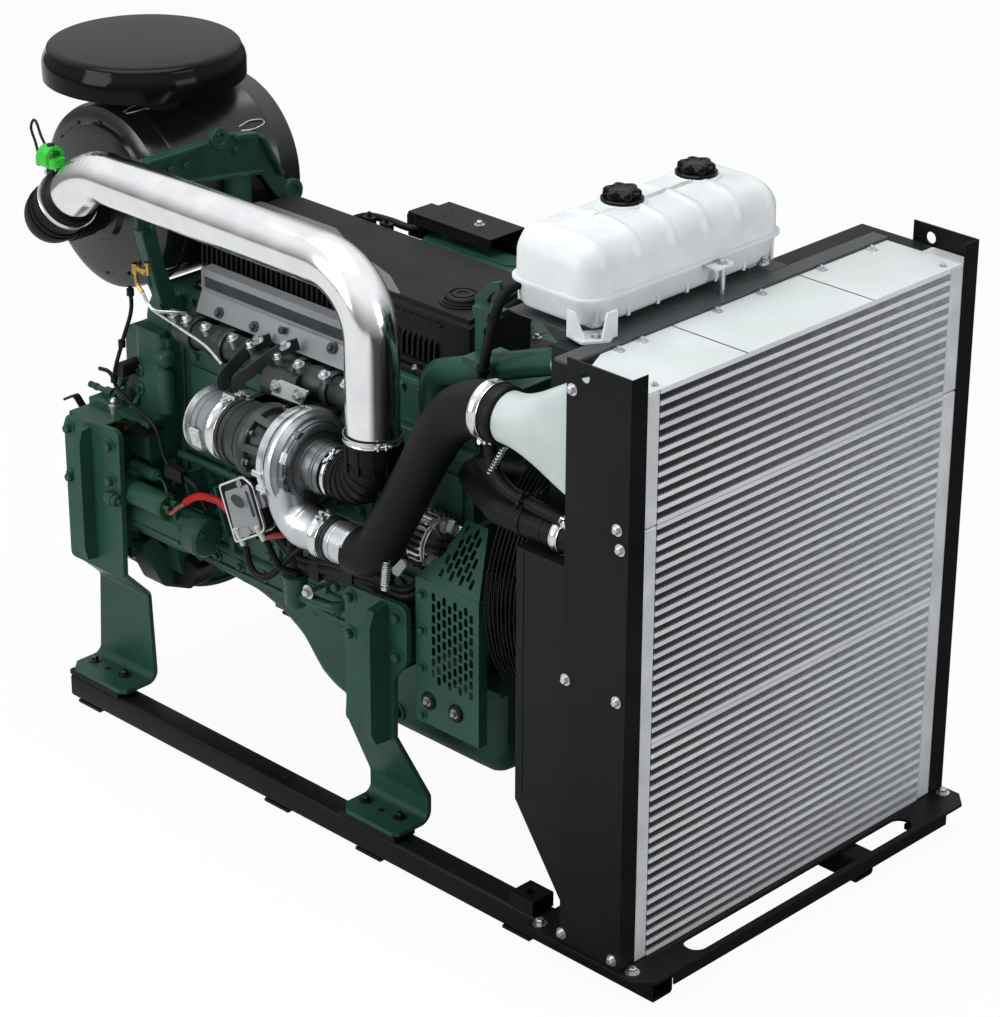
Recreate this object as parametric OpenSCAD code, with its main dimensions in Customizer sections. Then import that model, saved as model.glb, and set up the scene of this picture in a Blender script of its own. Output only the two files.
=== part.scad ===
// Six-cylinder diesel engine with a front radiator, on a pair of rails.
// X runs from the flywheel to the radiator, Y across, Z up. The modules are written
// in engine coordinates: X = 0 at the front face of the radiator core, Y = 0 at the
// crankshaft, Z = 0 at the floor. placed() then moves the origin to the middle of
// the whole outline, on the floor.

/* [Rails] */
// Length of each rail
rail_length = 1936; // [1700:10:2200]
// Width of each rail
rail_width = 66; // [50:1:80]
// Height of each rail
rail_height = 60; // [50:1:80]
// Distance between the middles of the two rails
rail_spacing = 677; // [640:1:720]
// Front end of the rails, ahead of the radiator core
rail_front = 62; // [40:1:75]
// Thickness of the plates under the rails
pad_thickness = 8; // [6:1:15]
// Radius of the hold-down hole through each rail
rail_hole_r = 9; // [6:0.5:12]

/* [Radiator] */
// Width of the finned core
core_width = 926; // [880:1:1000]
// Height of the finned core, both circuits together
core_height = 1300; // [1250:1:1400]
// Depth of the finned core
core_depth = 110; // [90:1:114]
// Height of the lower, coolant circuit
coolant_core_height = 1005; // [990:1:1020]
// Gap between the two circuits
core_split = 2; // [1:0.5:4]
// Offset of the radiator from the crankshaft, across
radiator_offset = 142; // [130:1:150]
// Width of each end tank
end_tank_width = 80; // [72:1:84]
// Depth of each end tank
end_tank_depth = 115; // [115:1:125]
// Depth of the side plates
side_plate_depth = 174; // [160:1:185]
// Thickness of the side plates
side_plate_t = 5; // [3:0.5:6]
// Width of the front flange of the side plates
side_flange_width = 48; // [30:1:60]
// How far the side plates rise above the core
side_plate_rise = 45; // [35:1:60]
// Radius of the lifting hole in each side plate
lifting_hole_r = 13.5; // [10:0.5:16]

/* [Base plate] */
// Thickness of the base plate
base_t = 8; // [6:1:12]
// Length of the base plate, front to rear
base_length = 354; // [330:1:380]
// How far the base plate reaches ahead of the core
base_front = 84; // [78:1:95]
// Height of the flange folded down at the front of the base plate
base_flange_height = 32; // [20:1:40]
// Width of the long slot in the base plate
slot_width = 53; // [40:1:58]
// Length of the long slot in the base plate
slot_length = 752; // [600:1:800]

/* [Fan and shroud] */
// Radius of the fan
fan_r = 345; // [320:1:348]
// Number of fan blades
fan_blades = 9; // [6:1:11]
// Height of the fan shaft above the floor
fan_z = 774; // [765:1:785]
// Radius of the opening in the shroud
shroud_opening_r = 350; // [340:1:352]
// Radius of the fan guard
guard_r = 375; // [366:1:380]
// Thickness of the wires of the guard
guard_wire = 6; // [4:0.5:8]
// Thickness of the shroud sheet
shroud_t = 4; // [2:0.5:5]
// Radius of the fan shaft
fan_shaft_r = 20; // [15:1:25]
// Running clearance of the fan on its shaft
shaft_clearance = 0.3; // [0.2:0.05:0.4]

/* [Engine] */
// Height of the crankshaft above the floor
crank_z = 564; // [555:1:575]
// Length of the cylinder block
block_length = 980; // [950:1:1000]
// Half width of the cylinder block
block_half_width = 200; // [190:1:202]
// Front face of the cylinder block, behind the radiator core
block_front = -640; // [-645:1:-635]
// Height of the joint between the sump and the block
sump_joint_z = 450; // [440:1:455]
// Height of the joint between the block and the head
head_joint_z = 1000; // [990:1:1005]
// Height of the joint between the head and the rocker cover
cover_joint_z = 1110; // [1100:1:1115]
// Height of the rocker cover
cover_height = 162; // [150:1:175]
// Half width of the cylinder head
head_half_width = 180; // [170:1:182]
// Half width of the rocker cover
cover_half_width = 145; // [130:1:150]
// Depth of the sump below its joint at the deep end
sump_depth = 243; // [220:1:260]
// Half width of the sump
sump_half_width = 205; // [190:1:212]

/* [Flywheel housing] */
// Outside radius of the flywheel housing
housing_r = 300; // [290:1:310]
// Radius of the register in the flywheel housing
housing_bore_r = 255.6; // [250:0.1:258]
// Pitch circle diameter of the housing holes
housing_pcd = 530.2; // [528:0.1:536]
// Radius of each housing hole
housing_hole_r = 5.5; // [4:0.1:6]
// Length of the flywheel housing
housing_length = 150; // [140:1:160]
// Radius of the flywheel
flywheel_r = 233; // [225:1:240]
// Thickness of the timing gear cover
timing_depth = 80; // [70:1:90]

/* [Air intake] */
// Radius of the air cleaner
cleaner_r = 228; // [215:1:232]
// Length of the air cleaner
cleaner_length = 423; // [400:1:450]
// Radius of the polished intake pipe
pipe_r = 61; // [55:0.5:63]
// Radius of the rain cap
rain_cap_r = 239; // [220:1:245]
// Radius of the compressor housing
compressor_r = 120; // [110:1:125]
// Radius of the charge air hose
hose_r = 55; // [48:0.5:56]
// Offset of the turbocharger from the crankshaft, across
turbo_y = -361; // [-365:1:-358]
// Height of the turbocharger shaft above the floor
turbo_z = 920; // [915:1:925]
// Radius of the opening in the exhaust outlet
exhaust_bore_r = 58; // [50:0.5:62]

/* [Hidden] */
$fn = 64;

green = "#2b5a4a";
black = "#232425";
silver = "#c4c6ca";
rubber = "#26272a";

// Heights of the frame
rail_z = pad_thickness;
rail_top = rail_z + rail_height;
base_top = rail_top + base_t;
core_z = base_top + 8;
core_top = core_z + core_height;
split_z = core_z + coolant_core_height;
side_top = core_top + side_plate_rise;

// Widths of the radiator
core_y0 = radiator_offset - core_width / 2;
core_y1 = radiator_offset + core_width / 2;
tank_gap = 1;
side_clear = 3;
plate_y0 = core_y0 - tank_gap - end_tank_width - side_clear - side_plate_t;
plate_y1 = core_y1 + tank_gap + end_tank_width + side_clear + side_plate_t;
side_front = 3;
base_y0 = plate_y0 - 5;
base_y1 = plate_y1 + 5;

// Engine planes along X
block_rear = block_front - block_length;
timing_rear = block_rear - timing_depth;
housing_rear = timing_rear - housing_length;

// Outline of the whole engine, for its origin
cleaner_x = block_rear - 230;
cleaner_z = 1279;
outline_rear = cleaner_x - cleaner_r;
outline_mid_x = (base_front + outline_rear) / 2;
outline_mid_y = (turbo_y - compressor_r + base_y1) / 2;

// Shroud
shroud_rear = -312;
shroud_front = -end_tank_depth - 1;
shroud_step_z = 965;
shroud_low_rear_z = 369;
shroud_low_front_z = 165;
shroud_upper_y = -306;
shroud_y0 = plate_y0 + side_plate_t + 1;
shroud_y1 = plate_y1 - side_plate_t - 1;
side_rear = side_front - side_plate_depth;

// Fan
fan_x = -422;
fan_depth = 72;
guard_x = -446;
guard_hub_r = 125;
drive_face_x = fan_x - 5;

module placed() {
    translate([-outline_mid_x, -outline_mid_y, 0]) children();
}

module box(x0, x1, y0, y1, z0, z1) {
    translate([x0, y0, z0]) cube([x1 - x0, y1 - y0, z1 - z0]);
}

// Cylinders between two planes, along each axis
module x_rod(r, x0, x1, y, z) {
    translate([x0, y, z]) rotate([0, 90, 0]) cylinder(r = r, h = x1 - x0);
}

module y_rod(r, y0, y1, x, z) {
    translate([x, y1, z]) rotate([90, 0, 0]) cylinder(r = r, h = y1 - y0);
}

module z_rod(r, z0, z1, x, y) {
    translate([x, y, z0]) cylinder(r = r, h = z1 - z0);
}

// An outline in X and Z, from y0 to y1
module side_profile(points, y0, y1) {
    translate([0, y1, 0]) rotate([90, 0, 0]) linear_extrude(y1 - y0) polygon(points);
}

// An outline in Y and Z, from x0 to x1
module end_profile(points, x0, x1) {
    translate([x0, 0, 0]) rotate([90, 0, 90]) linear_extrude(x1 - x0) polygon(points);
}

// An outline in X and Y, from z0 to z1
module plan_profile(points, z0, z1) {
    translate([0, 0, z0]) linear_extrude(z1 - z0) polygon(points);
}

// A rectangle with round corners, from true arcs
module round_rect(w, h, r) {
    translate([r, 0]) square([w - 2 * r, h]);
    translate([0, r]) square([w, h - 2 * r]);
    for (x = [r, w - r], y = [r, h - r]) translate([x, y]) circle(r);
}

// Steps of each arc and sides of each round bar
arc_steps = 6;
run_sides = 32;

function unit(v) = v / norm(v);

function any_side(d) = unit(cross(d, abs(d[2]) > 0.9 ? [1, 0, 0] : [0, 0, 1]));

// The radius at inner point i: one for all, or one each from a list
function bend_at(bend, i) = is_list(bend) ? bend[i - 1] : bend;

// The centre line through the points, with an arc of radius bend at each inner point:
// a list of stations, each a place and a direction
function arc_stations(p, u, v, bend) =
    let (turn = acos(u * v), cut = bend * tan(turn / 2), n = unit(v - (u * v) * u),
        centre = p - u * cut + n * bend)
    [for (k = [0:arc_steps]) let (a = turn * k / arc_steps)
        [centre - n * bend * cos(a) + u * bend * sin(a), u * cos(a) + n * sin(a)]];

function stations(points, bend) =
    let (last = len(points) - 1, dirs = [for (i = [0:last - 1]) unit(points[i + 1] - points[i])])
    concat(
        [[points[0], dirs[0]]],
        [for (i = [1:last - 1]) each arc_stations(points[i], dirs[i - 1], dirs[i],
            bend_at(bend, i))],
        [[points[last], dirs[last - 1]]]
    );

// A side vector at each station, carried along so that the bar doesn't twist
function carried_sides(path, side, i = 0) =
    i == len(path) ? [] :
    let (d = path[i][1], next = unit(side - (side * d) * d))
    concat([next], carried_sides(path, next, i + 1));

// A round bar of radius r along the points
module run(points, r, bend) {
    path = len(points) == 2
        ? [for (p = points) [p, unit(points[1] - points[0])]]
        : stations(points, bend);
    sides = carried_sides(path, any_side(path[0][1]));
    n = run_sides;
    last = len(path) - 1;
    rings = [for (i = [0:last]) let (up = cross(path[i][1], sides[i]))
        each [for (k = [0:n - 1]) path[i][0] + r * (cos(k * 360 / n) * sides[i]
            + sin(k * 360 / n) * up)]];
    walls = [for (i = [0:last - 1], k = [0:n - 1]) let (a = i * n + k, b = i * n + (k + 1) % n)
        each [[a, a + n, b + n], [a, b + n, b]]];
    polyhedron(
        points = rings,
        faces = concat(walls, [[for (k = [0:n - 1]) k]], [[for (k = [n - 1:-1:0]) last * n + k]])
    );
}

/* ---- Rails and base ---- */

pad_x = [-1807, -1120, -809, -339];
pad_length = 82;
hole_x = -1120;

module rail(side) {
    y = side * rail_spacing / 2;
    color(black) difference() {
        box(rail_front - rail_length, rail_front, y - rail_width / 2, y + rail_width / 2,
            rail_z, rail_top);
        z_rod(rail_hole_r, rail_z - 1, rail_top + 1, hole_x, y);
    }
}

module rail_left() placed() rail(-1);
module rail_right() placed() rail(1);

module rail_pads() placed() color(black) {
    for (side = [-1, 1], x = pad_x) {
        y = side * rail_spacing / 2;
        difference() {
            box(x - pad_length / 2, x + pad_length / 2, y - rail_width / 2, y + rail_width / 2,
                0, rail_z);
            if (x == hole_x) z_rod(rail_hole_r, -1, rail_z + 1, x, y);
        }
    }
}

base_rear = base_front - base_length;
slot_x = 40.5;
tip_chamfer = 34;

module base_plate() placed() color(black) {
    difference() {
        plan_profile([
            [base_rear, base_y0], [base_front - tip_chamfer, base_y0],
            [base_front, base_y0 + tip_chamfer], [base_front, base_y1 - tip_chamfer],
            [base_front - tip_chamfer, base_y1], [base_rear, base_y1]
        ], rail_top, base_top);
        translate([slot_x - slot_width / 2, radiator_offset - slot_length / 2, rail_top - 1])
            linear_extrude(base_t + 2) round_rect(slot_width, slot_length, slot_width / 2 - 0.5);
    }
    box(base_front - 5, base_front, base_y0 + 90, base_y1 - 90,
        base_top - base_flange_height, rail_top);
}

mount_x = -322;
mount_size = 70;
mount_height = 36;

module radiator_mounts() placed() color(black) {
    for (side = [-1, 1]) {
        y = side * rail_spacing / 2;
        difference() {
            box(mount_x - mount_size / 2, mount_x + mount_size / 2,
                y - rail_width / 2, y + rail_width / 2, rail_top, rail_top + mount_height);
            z_rod(12, rail_top + mount_height - 15, rail_top + mount_height + 1, mount_x, y);
        }
    }
}

/* ---- Radiator ---- */

module radiator_core() placed() color(silver)
    box(-core_depth, 0, core_y0, core_y1, base_top, split_z);

module charge_air_cooler() placed() color(silver)
    box(-core_depth, 0, core_y0, core_y1, split_z + core_split, core_top);

module end_tanks(z0, z1) {
    for (y = [core_y0 - tank_gap - end_tank_width, core_y1 + tank_gap])
        box(-end_tank_depth, 0, y, y + end_tank_width, z0, z1);
}

module radiator_end_tanks() placed() color(silver) end_tanks(base_top, split_z);
module charge_air_end_tanks() placed() color(silver) end_tanks(split_z + core_split, core_top);

lifting_x = -123;
lifting_drop = 29;

// One side plate: a flat web and a flange folded towards the core
module side_plate(y, inward) {
    y0 = inward > 0 ? y : y - side_plate_t;
    flange_y0 = inward > 0 ? y : y - side_flange_width;
    color(black) {
        difference() {
            box(side_rear, side_front, y0, y0 + side_plate_t, base_top, side_top);
            y_rod(lifting_hole_r, y0 - 1, y0 + side_plate_t + 1, lifting_x,
                side_top - lifting_drop);
        }
        translate([0.3, 0, 0])
            box(0, side_front - 0.3, flange_y0, flange_y0 + side_flange_width, base_top,
                side_top);
    }
}

module side_plate_left() placed() side_plate(plate_y0, 1);
module side_plate_right() placed() side_plate(plate_y1, -1);

cover_t = 2;
top_cover_rear = -205;
cover_notch = 82;

// Three plates on top of the core, the first with a cut rear corner
module top_covers() placed() color("#d3dadb") {
    y0 = core_y0 - 36;
    y3 = core_y1 + 36;
    seam1 = core_y0 + 259;
    seam2 = core_y0 + 663;
    gap = 2;
    plan_profile([
        [-0.5, y0], [-0.5, seam1 - gap / 2], [top_cover_rear, seam1 - gap / 2],
        [top_cover_rear, y0 + cover_notch], [top_cover_rear + cover_notch / 2, y0]
    ], core_top, core_top + cover_t);
    box(top_cover_rear, -0.5, seam1 + gap / 2, seam2 - gap / 2, core_top, core_top + cover_t);
    box(top_cover_rear, -0.5, seam2 + gap / 2, y3, core_top, core_top + cover_t);
}

channel_rear = -250;
channel_height = 8;

module top_channel() placed() color(black)
    box(channel_rear, top_cover_rear - 1, shroud_y0 + 40, shroud_y1 - 40,
        core_top, core_top + channel_height);

/* ---- Shroud, guard and fan ---- */

module shroud_outline(y0, y1, grow) {
    side_profile([
        [shroud_rear - grow, shroud_low_rear_z - grow],
        [shroud_rear - grow, core_top + grow],
        [shroud_front + 1, core_top + grow],
        [shroud_front + 1, base_top + 14 - grow],
        [side_rear, shroud_low_front_z - grow]
    ], y0 - grow, y1 + grow);
}

module fan_shroud() placed() color(black) difference() {
    union() {
        intersection() {
            shroud_outline(shroud_y0, shroud_y1, 0);
            box(shroud_rear - 1, shroud_front, shroud_y0 - 1, shroud_y1 + 1, 0, shroud_step_z);
        }
        intersection() {
            shroud_outline(shroud_upper_y, shroud_y1, 0);
            box(shroud_rear - 1, shroud_front, shroud_upper_y - 1, shroud_y1 + 1,
                shroud_step_z - 1, core_top + 1);
        }
    }
    intersection() {
        shroud_outline(shroud_y0 + shroud_t, shroud_y1 - shroud_t, -shroud_t);
        box(shroud_rear - 1, shroud_front + 5, shroud_y0 - 1, shroud_y1 + 1, 0,
            shroud_step_z - shroud_t);
    }
    intersection() {
        shroud_outline(shroud_upper_y + 2 * shroud_t, shroud_y1 - shroud_t, -shroud_t);
        box(shroud_rear - 1, shroud_front + 5, shroud_upper_y - 1, shroud_y1 + 1,
            shroud_step_z - 2 * shroud_t, core_top + 1);
    }
    x_rod(shroud_opening_r, shroud_rear - 5, shroud_rear + 10, 0, fan_z);
}

guard_rings = [guard_x, guard_x + 34, guard_x + 68, guard_x + 102];
face_rings = 5;
guard_spokes = 12;

module ring(x, r) {
    translate([x, 0, fan_z]) rotate([0, 90, 0]) difference() {
        cylinder(r = r, h = guard_wire);
        translate([0, 0, -1]) cylinder(r = r - guard_wire, h = guard_wire + 2);
    }
}

module fan_guard() placed() color(black) {
    for (x = guard_rings) ring(x, guard_r);
    for (i = [0:face_rings - 1])
        ring(guard_x, guard_hub_r + i * (guard_r - guard_hub_r) / face_rings);
    for (i = [0:guard_spokes - 1]) translate([0, 0, fan_z]) rotate([i * 360 / guard_spokes, 0, 0]) {
        box(guard_x, guard_x + guard_wire, -guard_wire / 2, guard_wire / 2,
            guard_hub_r - guard_wire, guard_r - 1);
        box(guard_x, shroud_rear, -guard_wire / 2, guard_wire / 2,
            guard_r - guard_wire, guard_r - 0.5);
    }
}

fan_hub_r = 85;
blade_t = 4;
blade_pitch = 35;

module fan() placed() color(black) translate([fan_x, 0, fan_z]) rotate([0, 90, 0]) difference() {
    union() {
        cylinder(r = fan_hub_r, h = fan_depth);
        intersection() {
            cylinder(r = fan_r, h = fan_depth);
            for (i = [0:fan_blades - 1]) rotate([0, 0, i * 360 / fan_blades])
                translate([fan_hub_r - 10, 0, fan_depth / 2]) rotate([blade_pitch, 0, 0])
                    translate([0, -62, -blade_t / 2]) cube([fan_r, 124, blade_t]);
        }
    }
    translate([0, 0, -1]) cylinder(r = fan_shaft_r + shaft_clearance, h = fan_depth - 12);
}

drive_pulley_r = 90;
belt_x = -620;
belt_width = 20;

module fan_drive() placed() color(black) {
    x_rod(drive_pulley_r, belt_x - 4, belt_x + belt_width + 4, 0, fan_z);
    x_rod(58, block_front, drive_face_x, 0, fan_z);
    x_rod(fan_shaft_r, drive_face_x - 1, fan_x + fan_depth - 20, 0, fan_z);
}

/* ---- Expansion tank ---- */

tank_rear = -508;
tank_front = -254;
tank_y0 = -255;
tank_y1 = 370;
tank_z = core_top + 20;
tank_height = 186;
tank_r = 46;
tank_seam_z = tank_z + 62;
cap_x = -405;
cap_y = [0, 231];
cap_r = 37;
cap_height = 24;
neck_r = 34;
bracket_t = 4;

module tank_layer(z0, z1, inset) {
    translate([tank_rear + inset, tank_y0 + inset, z0]) linear_extrude(z1 - z0)
        round_rect(tank_front - tank_rear - 2 * inset, tank_y1 - tank_y0 - 2 * inset,
            tank_r - inset);
}

module expansion_tank() placed() color("#e6ecee") {
    hull() {
        tank_layer(tank_z, tank_z + 1, 22, $fn = 32);
        tank_layer(tank_seam_z - 1, tank_seam_z, 6, $fn = 32);
    }
    tank_layer(tank_seam_z - 1, tank_seam_z + 7, 2);
    hull() {
        tank_layer(tank_seam_z + 5, tank_seam_z + 70, 6, $fn = 32);
        tank_layer(tank_z + tank_height - 1, tank_z + tank_height, 42, $fn = 32);
    }
    for (y = cap_y) z_rod(neck_r, tank_z + tank_height - 5, tank_z + tank_height + 6, cap_x, y);
    for (x = [tank_rear + 60, tank_front - 60], y = [tank_y0 + 70, tank_y1 - 70])
        box(x - 20, x + 20, y - 16, y + 16, core_top + channel_height, tank_z + 2);
}

module expansion_tank_caps() placed() color(black)
    for (y = cap_y)
        z_rod(cap_r, tank_z + tank_height + 6, tank_z + tank_height + 6 + cap_height, cap_x, y);

module tank_bracket() placed() color("#3c3f40") {
    box(tank_rear + 10, channel_rear - 1, tank_y0 + 10, tank_y1 - 10,
        core_top + channel_height - bracket_t, core_top + channel_height);
    for (y = [tank_y0 + 60, tank_y1 - 64])
        side_profile([
            [tank_rear + 20, core_top + channel_height - bracket_t],
            [shroud_rear, core_top + channel_height - bracket_t],
            [shroud_rear, core_top - 110]
        ], y, y + bracket_t);
    box(shroud_rear, channel_rear - 1, tank_y0 + 10, tank_y1 - 10,
        core_top, core_top + channel_height - bracket_t);
}

/* ---- Engine ---- */

deck_rib = 12;
cylinders = 6;

module cylinder_block() placed() color(green) {
    box(block_rear, block_front, -block_half_width + deck_rib, block_half_width - deck_rib,
        sump_joint_z, head_joint_z);
    for (side = [-1, 1]) {
        y0 = side > 0 ? block_half_width - deck_rib - 1 : -block_half_width;
        for (z = [sump_joint_z, head_joint_z - 30])
            box(block_rear, block_front, y0, y0 + deck_rib + 1, z, z + 30);
        for (i = [0:cylinders])
            box(block_rear + i * (block_length - 20) / cylinders,
                block_rear + i * (block_length - 20) / cylinders + 20,
                y0, y0 + deck_rib + 1, sump_joint_z + 10, head_joint_z - 10);
    }
}

sump_rear = block_rear + 20;
sump_front = -555;
sump_flange_t = 14;

module oil_sump() placed() color(green) {
    box(sump_rear, sump_front, -sump_half_width, sump_half_width,
        sump_joint_z - sump_flange_t, sump_joint_z);
    inset = 22;
    deep_z = sump_joint_z - sump_depth;
    side_profile([
        [sump_rear + 15, sump_joint_z - sump_flange_t + 1], [sump_rear + 20, sump_joint_z - 32],
        [-1377, sump_joint_z - 47], [-1294, sump_joint_z - 78], [-1226, sump_joint_z - 132],
        [-1165, deep_z + 43], [-1130, deep_z + 22], [-1070, deep_z + 6], [-640, deep_z],
        [-608, deep_z + 8], [-584, deep_z + 34], [sump_front - 10, sump_joint_z - sump_flange_t + 1]
    ], -sump_half_width + inset, sump_half_width - inset);
}

module cylinder_head() placed() color(green)
    box(block_rear, block_front, -head_half_width, head_half_width, head_joint_z,
        cover_joint_z);

cover_rear = block_rear + 22;
cover_front = -705;
cover_top = cover_joint_z + cover_height;

module rocker_cover() placed() color(black) {
    flange = 18;
    plan_profile([
        [cover_rear, -cover_half_width - flange], [cover_front + 20, -cover_half_width - flange],
        [cover_front - 40, cover_half_width + flange], [cover_rear, cover_half_width + flange]
    ], cover_joint_z, cover_joint_z + 16);
    plan_profile([
        [cover_rear + 12, -cover_half_width], [cover_front, -cover_half_width],
        [cover_front - 60, cover_half_width - 40], [cover_front - 110, cover_half_width],
        [cover_rear + 12, cover_half_width]
    ], cover_joint_z + 15, cover_top - 14);
    plan_profile([
        [cover_rear + 22, -cover_half_width + 10], [cover_front - 10, -cover_half_width + 10],
        [cover_front - 66, cover_half_width - 46], [cover_front - 114, cover_half_width - 10],
        [cover_rear + 22, cover_half_width - 10]
    ], cover_top - 15, cover_top);
}

filler_x = -806;
filler_y = -66;

module oil_filler_cap() placed() color(black) {
    z_rod(50, cover_top, cover_top + 8, filler_x, filler_y);
    z_rod(43, cover_top + 7, cover_top + 20, filler_x, filler_y);
}

timing_half_width = 226;
timing_drop = 200;

module timing_cover() placed() color(green)
    box(timing_rear, block_rear, -timing_half_width, timing_half_width,
        crank_z - timing_drop, cover_joint_z - 12);

pad_half = 300;
register_depth = 16;

module flywheel_housing() placed() color(green) difference() {
    union() {
        x_rod(housing_r, housing_rear, timing_rear, 0, crank_z);
        box(housing_rear + 15, timing_rear, -pad_half, pad_half, crank_z - 140, crank_z + 240);
        box(housing_rear + 40, timing_rear, -200, 200, crank_z, crank_z + 400);
    }
    x_rod(housing_bore_r, housing_rear - 1, housing_rear + register_depth, 0, crank_z);
    x_rod(housing_bore_r - 8, housing_rear + 10, timing_rear - 14, 0, crank_z);
    x_rod(70, housing_rear - 1, timing_rear + 1, 0, crank_z);
    for (i = [0:11]) translate([housing_rear - 1, 0, crank_z]) rotate([15 + i * 30, 0, 0])
        translate([0, 0, housing_pcd / 2]) rotate([0, 90, 0])
            cylinder(r = housing_hole_r, h = 26);
}

flywheel_pcd = 438.2;
flywheel_hole_r = 5;

module flywheel() placed() color("#8c8f92") difference() {
    union() {
        x_rod(flywheel_r, housing_rear + 20, housing_rear + 75, 0, crank_z);
        x_rod(60, housing_rear + 70, timing_rear, 0, crank_z);
    }
    x_rod(45, housing_rear + 19, housing_rear + 40, 0, crank_z);
    for (i = [0:7]) translate([housing_rear + 19, 0, crank_z]) rotate([i * 45, 0, 0])
        translate([0, 0, flywheel_pcd / 2]) rotate([0, 90, 0])
            cylinder(r = flywheel_hole_r, h = 31);
}

/* ---- Belt drive ---- */

crank_pulley_r = 100;
alternator_y = -268;
alternator_z = 800;
alternator_r = 66;
alternator_pulley_r = 30;
alternator_front = -670;
belt_t = 6;
belt_clear = 0.5;

module crank_pulley() placed() color(black) {
    x_rod(crank_pulley_r, belt_x - 4, belt_x + belt_width + 4, 0, crank_z);
    x_rod(45, block_front, belt_x, 0, crank_z);
}

// The plan of the belt: pulley circles grown by one amount and wrapped
module belt_loop(grow) {
    hull() {
        translate([0, crank_z]) circle(crank_pulley_r + grow, $fn = 48);
        translate([0, fan_z]) circle(drive_pulley_r + grow, $fn = 48);
        translate([alternator_y, alternator_z]) circle(alternator_pulley_r + grow, $fn = 48);
    }
}

module drive_belt() placed() color(rubber)
    translate([belt_x, 0, 0]) rotate([90, 0, 90]) linear_extrude(belt_width) difference() {
        belt_loop(belt_clear + belt_t);
        belt_loop(belt_clear);
    }

module alternator() placed() color("#a9abad") {
    x_rod(alternator_r, alternator_front - 118, alternator_front, alternator_y, alternator_z);
    x_rod(12, alternator_front - 1, belt_x + belt_width + 4, alternator_y, alternator_z);
    x_rod(alternator_pulley_r, belt_x - 4, belt_x + belt_width + 4, alternator_y, alternator_z);
    box(-760, -700, alternator_y + 10, -block_half_width, alternator_z - 50, alternator_z + 40);
}

starter_y = -292;
starter_z = 561;
starter_r = 64;
starter_length = 283;
solenoid_r = 32;
solenoid_rear = timing_rear + 20;
solenoid_length = 120;
solenoid_rise = 98;

module starter_motor() placed() color(green) {
    x_rod(starter_r, timing_rear, timing_rear + starter_length, starter_y, starter_z);
    x_rod(solenoid_r, solenoid_rear, solenoid_rear + solenoid_length, starter_y,
        starter_z + solenoid_rise);
    box(solenoid_rear + 10, solenoid_rear + solenoid_length - 10, starter_y - 18,
        starter_y + 18, starter_z + starter_r - 10, starter_z + solenoid_rise);
}

guard_panel_y = -351;
guard_panel_t = 3;
guard_panel_x0 = -667;
guard_panel_x1 = -473;
guard_panel_z0 = 404;
guard_panel_z1 = 754;

guard_slope_y = 94;
guard_slope_z = 127;
guard_top_x0 = -600;
guard_top_x1 = -535;

// A flat panel and a sloping one above it, which narrows towards its top edge
module belt_guard() placed() color(green) {
    y1 = guard_panel_y + guard_panel_t;
    top = guard_panel_z1 + guard_slope_z;
    difference() {
        end_profile([
            [guard_panel_y, guard_panel_z0], [y1, guard_panel_z0], [y1, guard_panel_z1],
            [guard_panel_y + guard_slope_y, top - guard_panel_t],
            [guard_panel_y + guard_slope_y - guard_panel_t, top],
            [guard_panel_y, guard_panel_z1 + 1]
        ], guard_panel_x0, guard_panel_x1);
        side_profile([
            [guard_panel_x0 - 1, guard_panel_z1 + 9], [guard_panel_x0 + 6, guard_panel_z1 + 9],
            [guard_panel_x0 + 50, guard_panel_z1 + 57], [guard_top_x0, top + 1],
            [guard_panel_x0 - 1, top + 1]
        ], guard_panel_y - 1, guard_panel_y + guard_slope_y + 1);
        side_profile([
            [guard_panel_x1 + 1, guard_panel_z1 + 2], [guard_panel_x1, guard_panel_z1 + 2],
            [guard_top_x1, top + 1], [guard_panel_x1 + 1, top + 1]
        ], guard_panel_y - 1, guard_panel_y + guard_slope_y + 1);
    }
    box(guard_panel_x0 + 2, guard_panel_x0 + 22, y1 - 1, -block_half_width,
        sump_joint_z + 10, sump_joint_z + 34);
}

/* ---- Exhaust and turbocharger ---- */

manifold_y = -236;
manifold_z = 1045;
manifold_r = 38;
manifold_rear = -1560;
manifold_front = -950;
port_half = 26;
turbine_x = -1165;
turbine_flange_z = 1000;

module exhaust_manifold() placed() color("#3a3b3b") {
    x_rod(manifold_r, manifold_rear, manifold_front, manifold_y, manifold_z);
    for (i = [0:cylinders - 1]) {
        x = manifold_rear + 30 + i * (manifold_front - manifold_rear - 60) / (cylinders - 1);
        box(x - port_half, x + port_half, manifold_y, -head_half_width, manifold_z - 34,
            manifold_z + 30);
    }
    box(turbine_x - 50, turbine_x + 50, -300, manifold_y, turbine_flange_z, manifold_z);
}

shield_rear = -1525;
shield_front = -1025;
shield_z = 1186;
shield_t = 4;
shield_stay_x = [-1465, -1085];

module heat_shield() placed() color("#8d9092") {
    y = -cover_half_width - 50;
    end_profile([
        [y + 31, shield_z], [y, shield_z], [y, shield_z - 52], [y - 20, shield_z - 100],
        [y - 20 - shield_t, shield_z - 99], [y - shield_t, shield_z - 51],
        [y - shield_t, shield_z + shield_t], [y + 31, shield_z + shield_t]
    ], shield_rear, shield_front);
    for (x = shield_stay_x)
        y_rod(6, y - 2, -cover_half_width, x, shield_z - 36);
}

volute_r = 95;
turbine_neck_r = 66;
turbine_rear = turbine_x - 60;
turbine_front = turbine_x + 80;

module turbine_housing() placed() color("#2f3130") {
    x_rod(volute_r, turbine_x - 45, turbine_x + 35, turbo_y, turbo_z);
    x_rod(turbine_neck_r, turbine_rear, turbine_front, turbo_y, turbo_z);
    box(turbine_x - 40, turbine_x + 30, -345, -265, turbo_z, turbine_flange_z);
}

outlet_rear = -1325;
outlet_r = 70;
outlet_bead_r = 78;
outlet_bead = 12;
outlet_band_r = 76;
outlet_band = 24;

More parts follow.
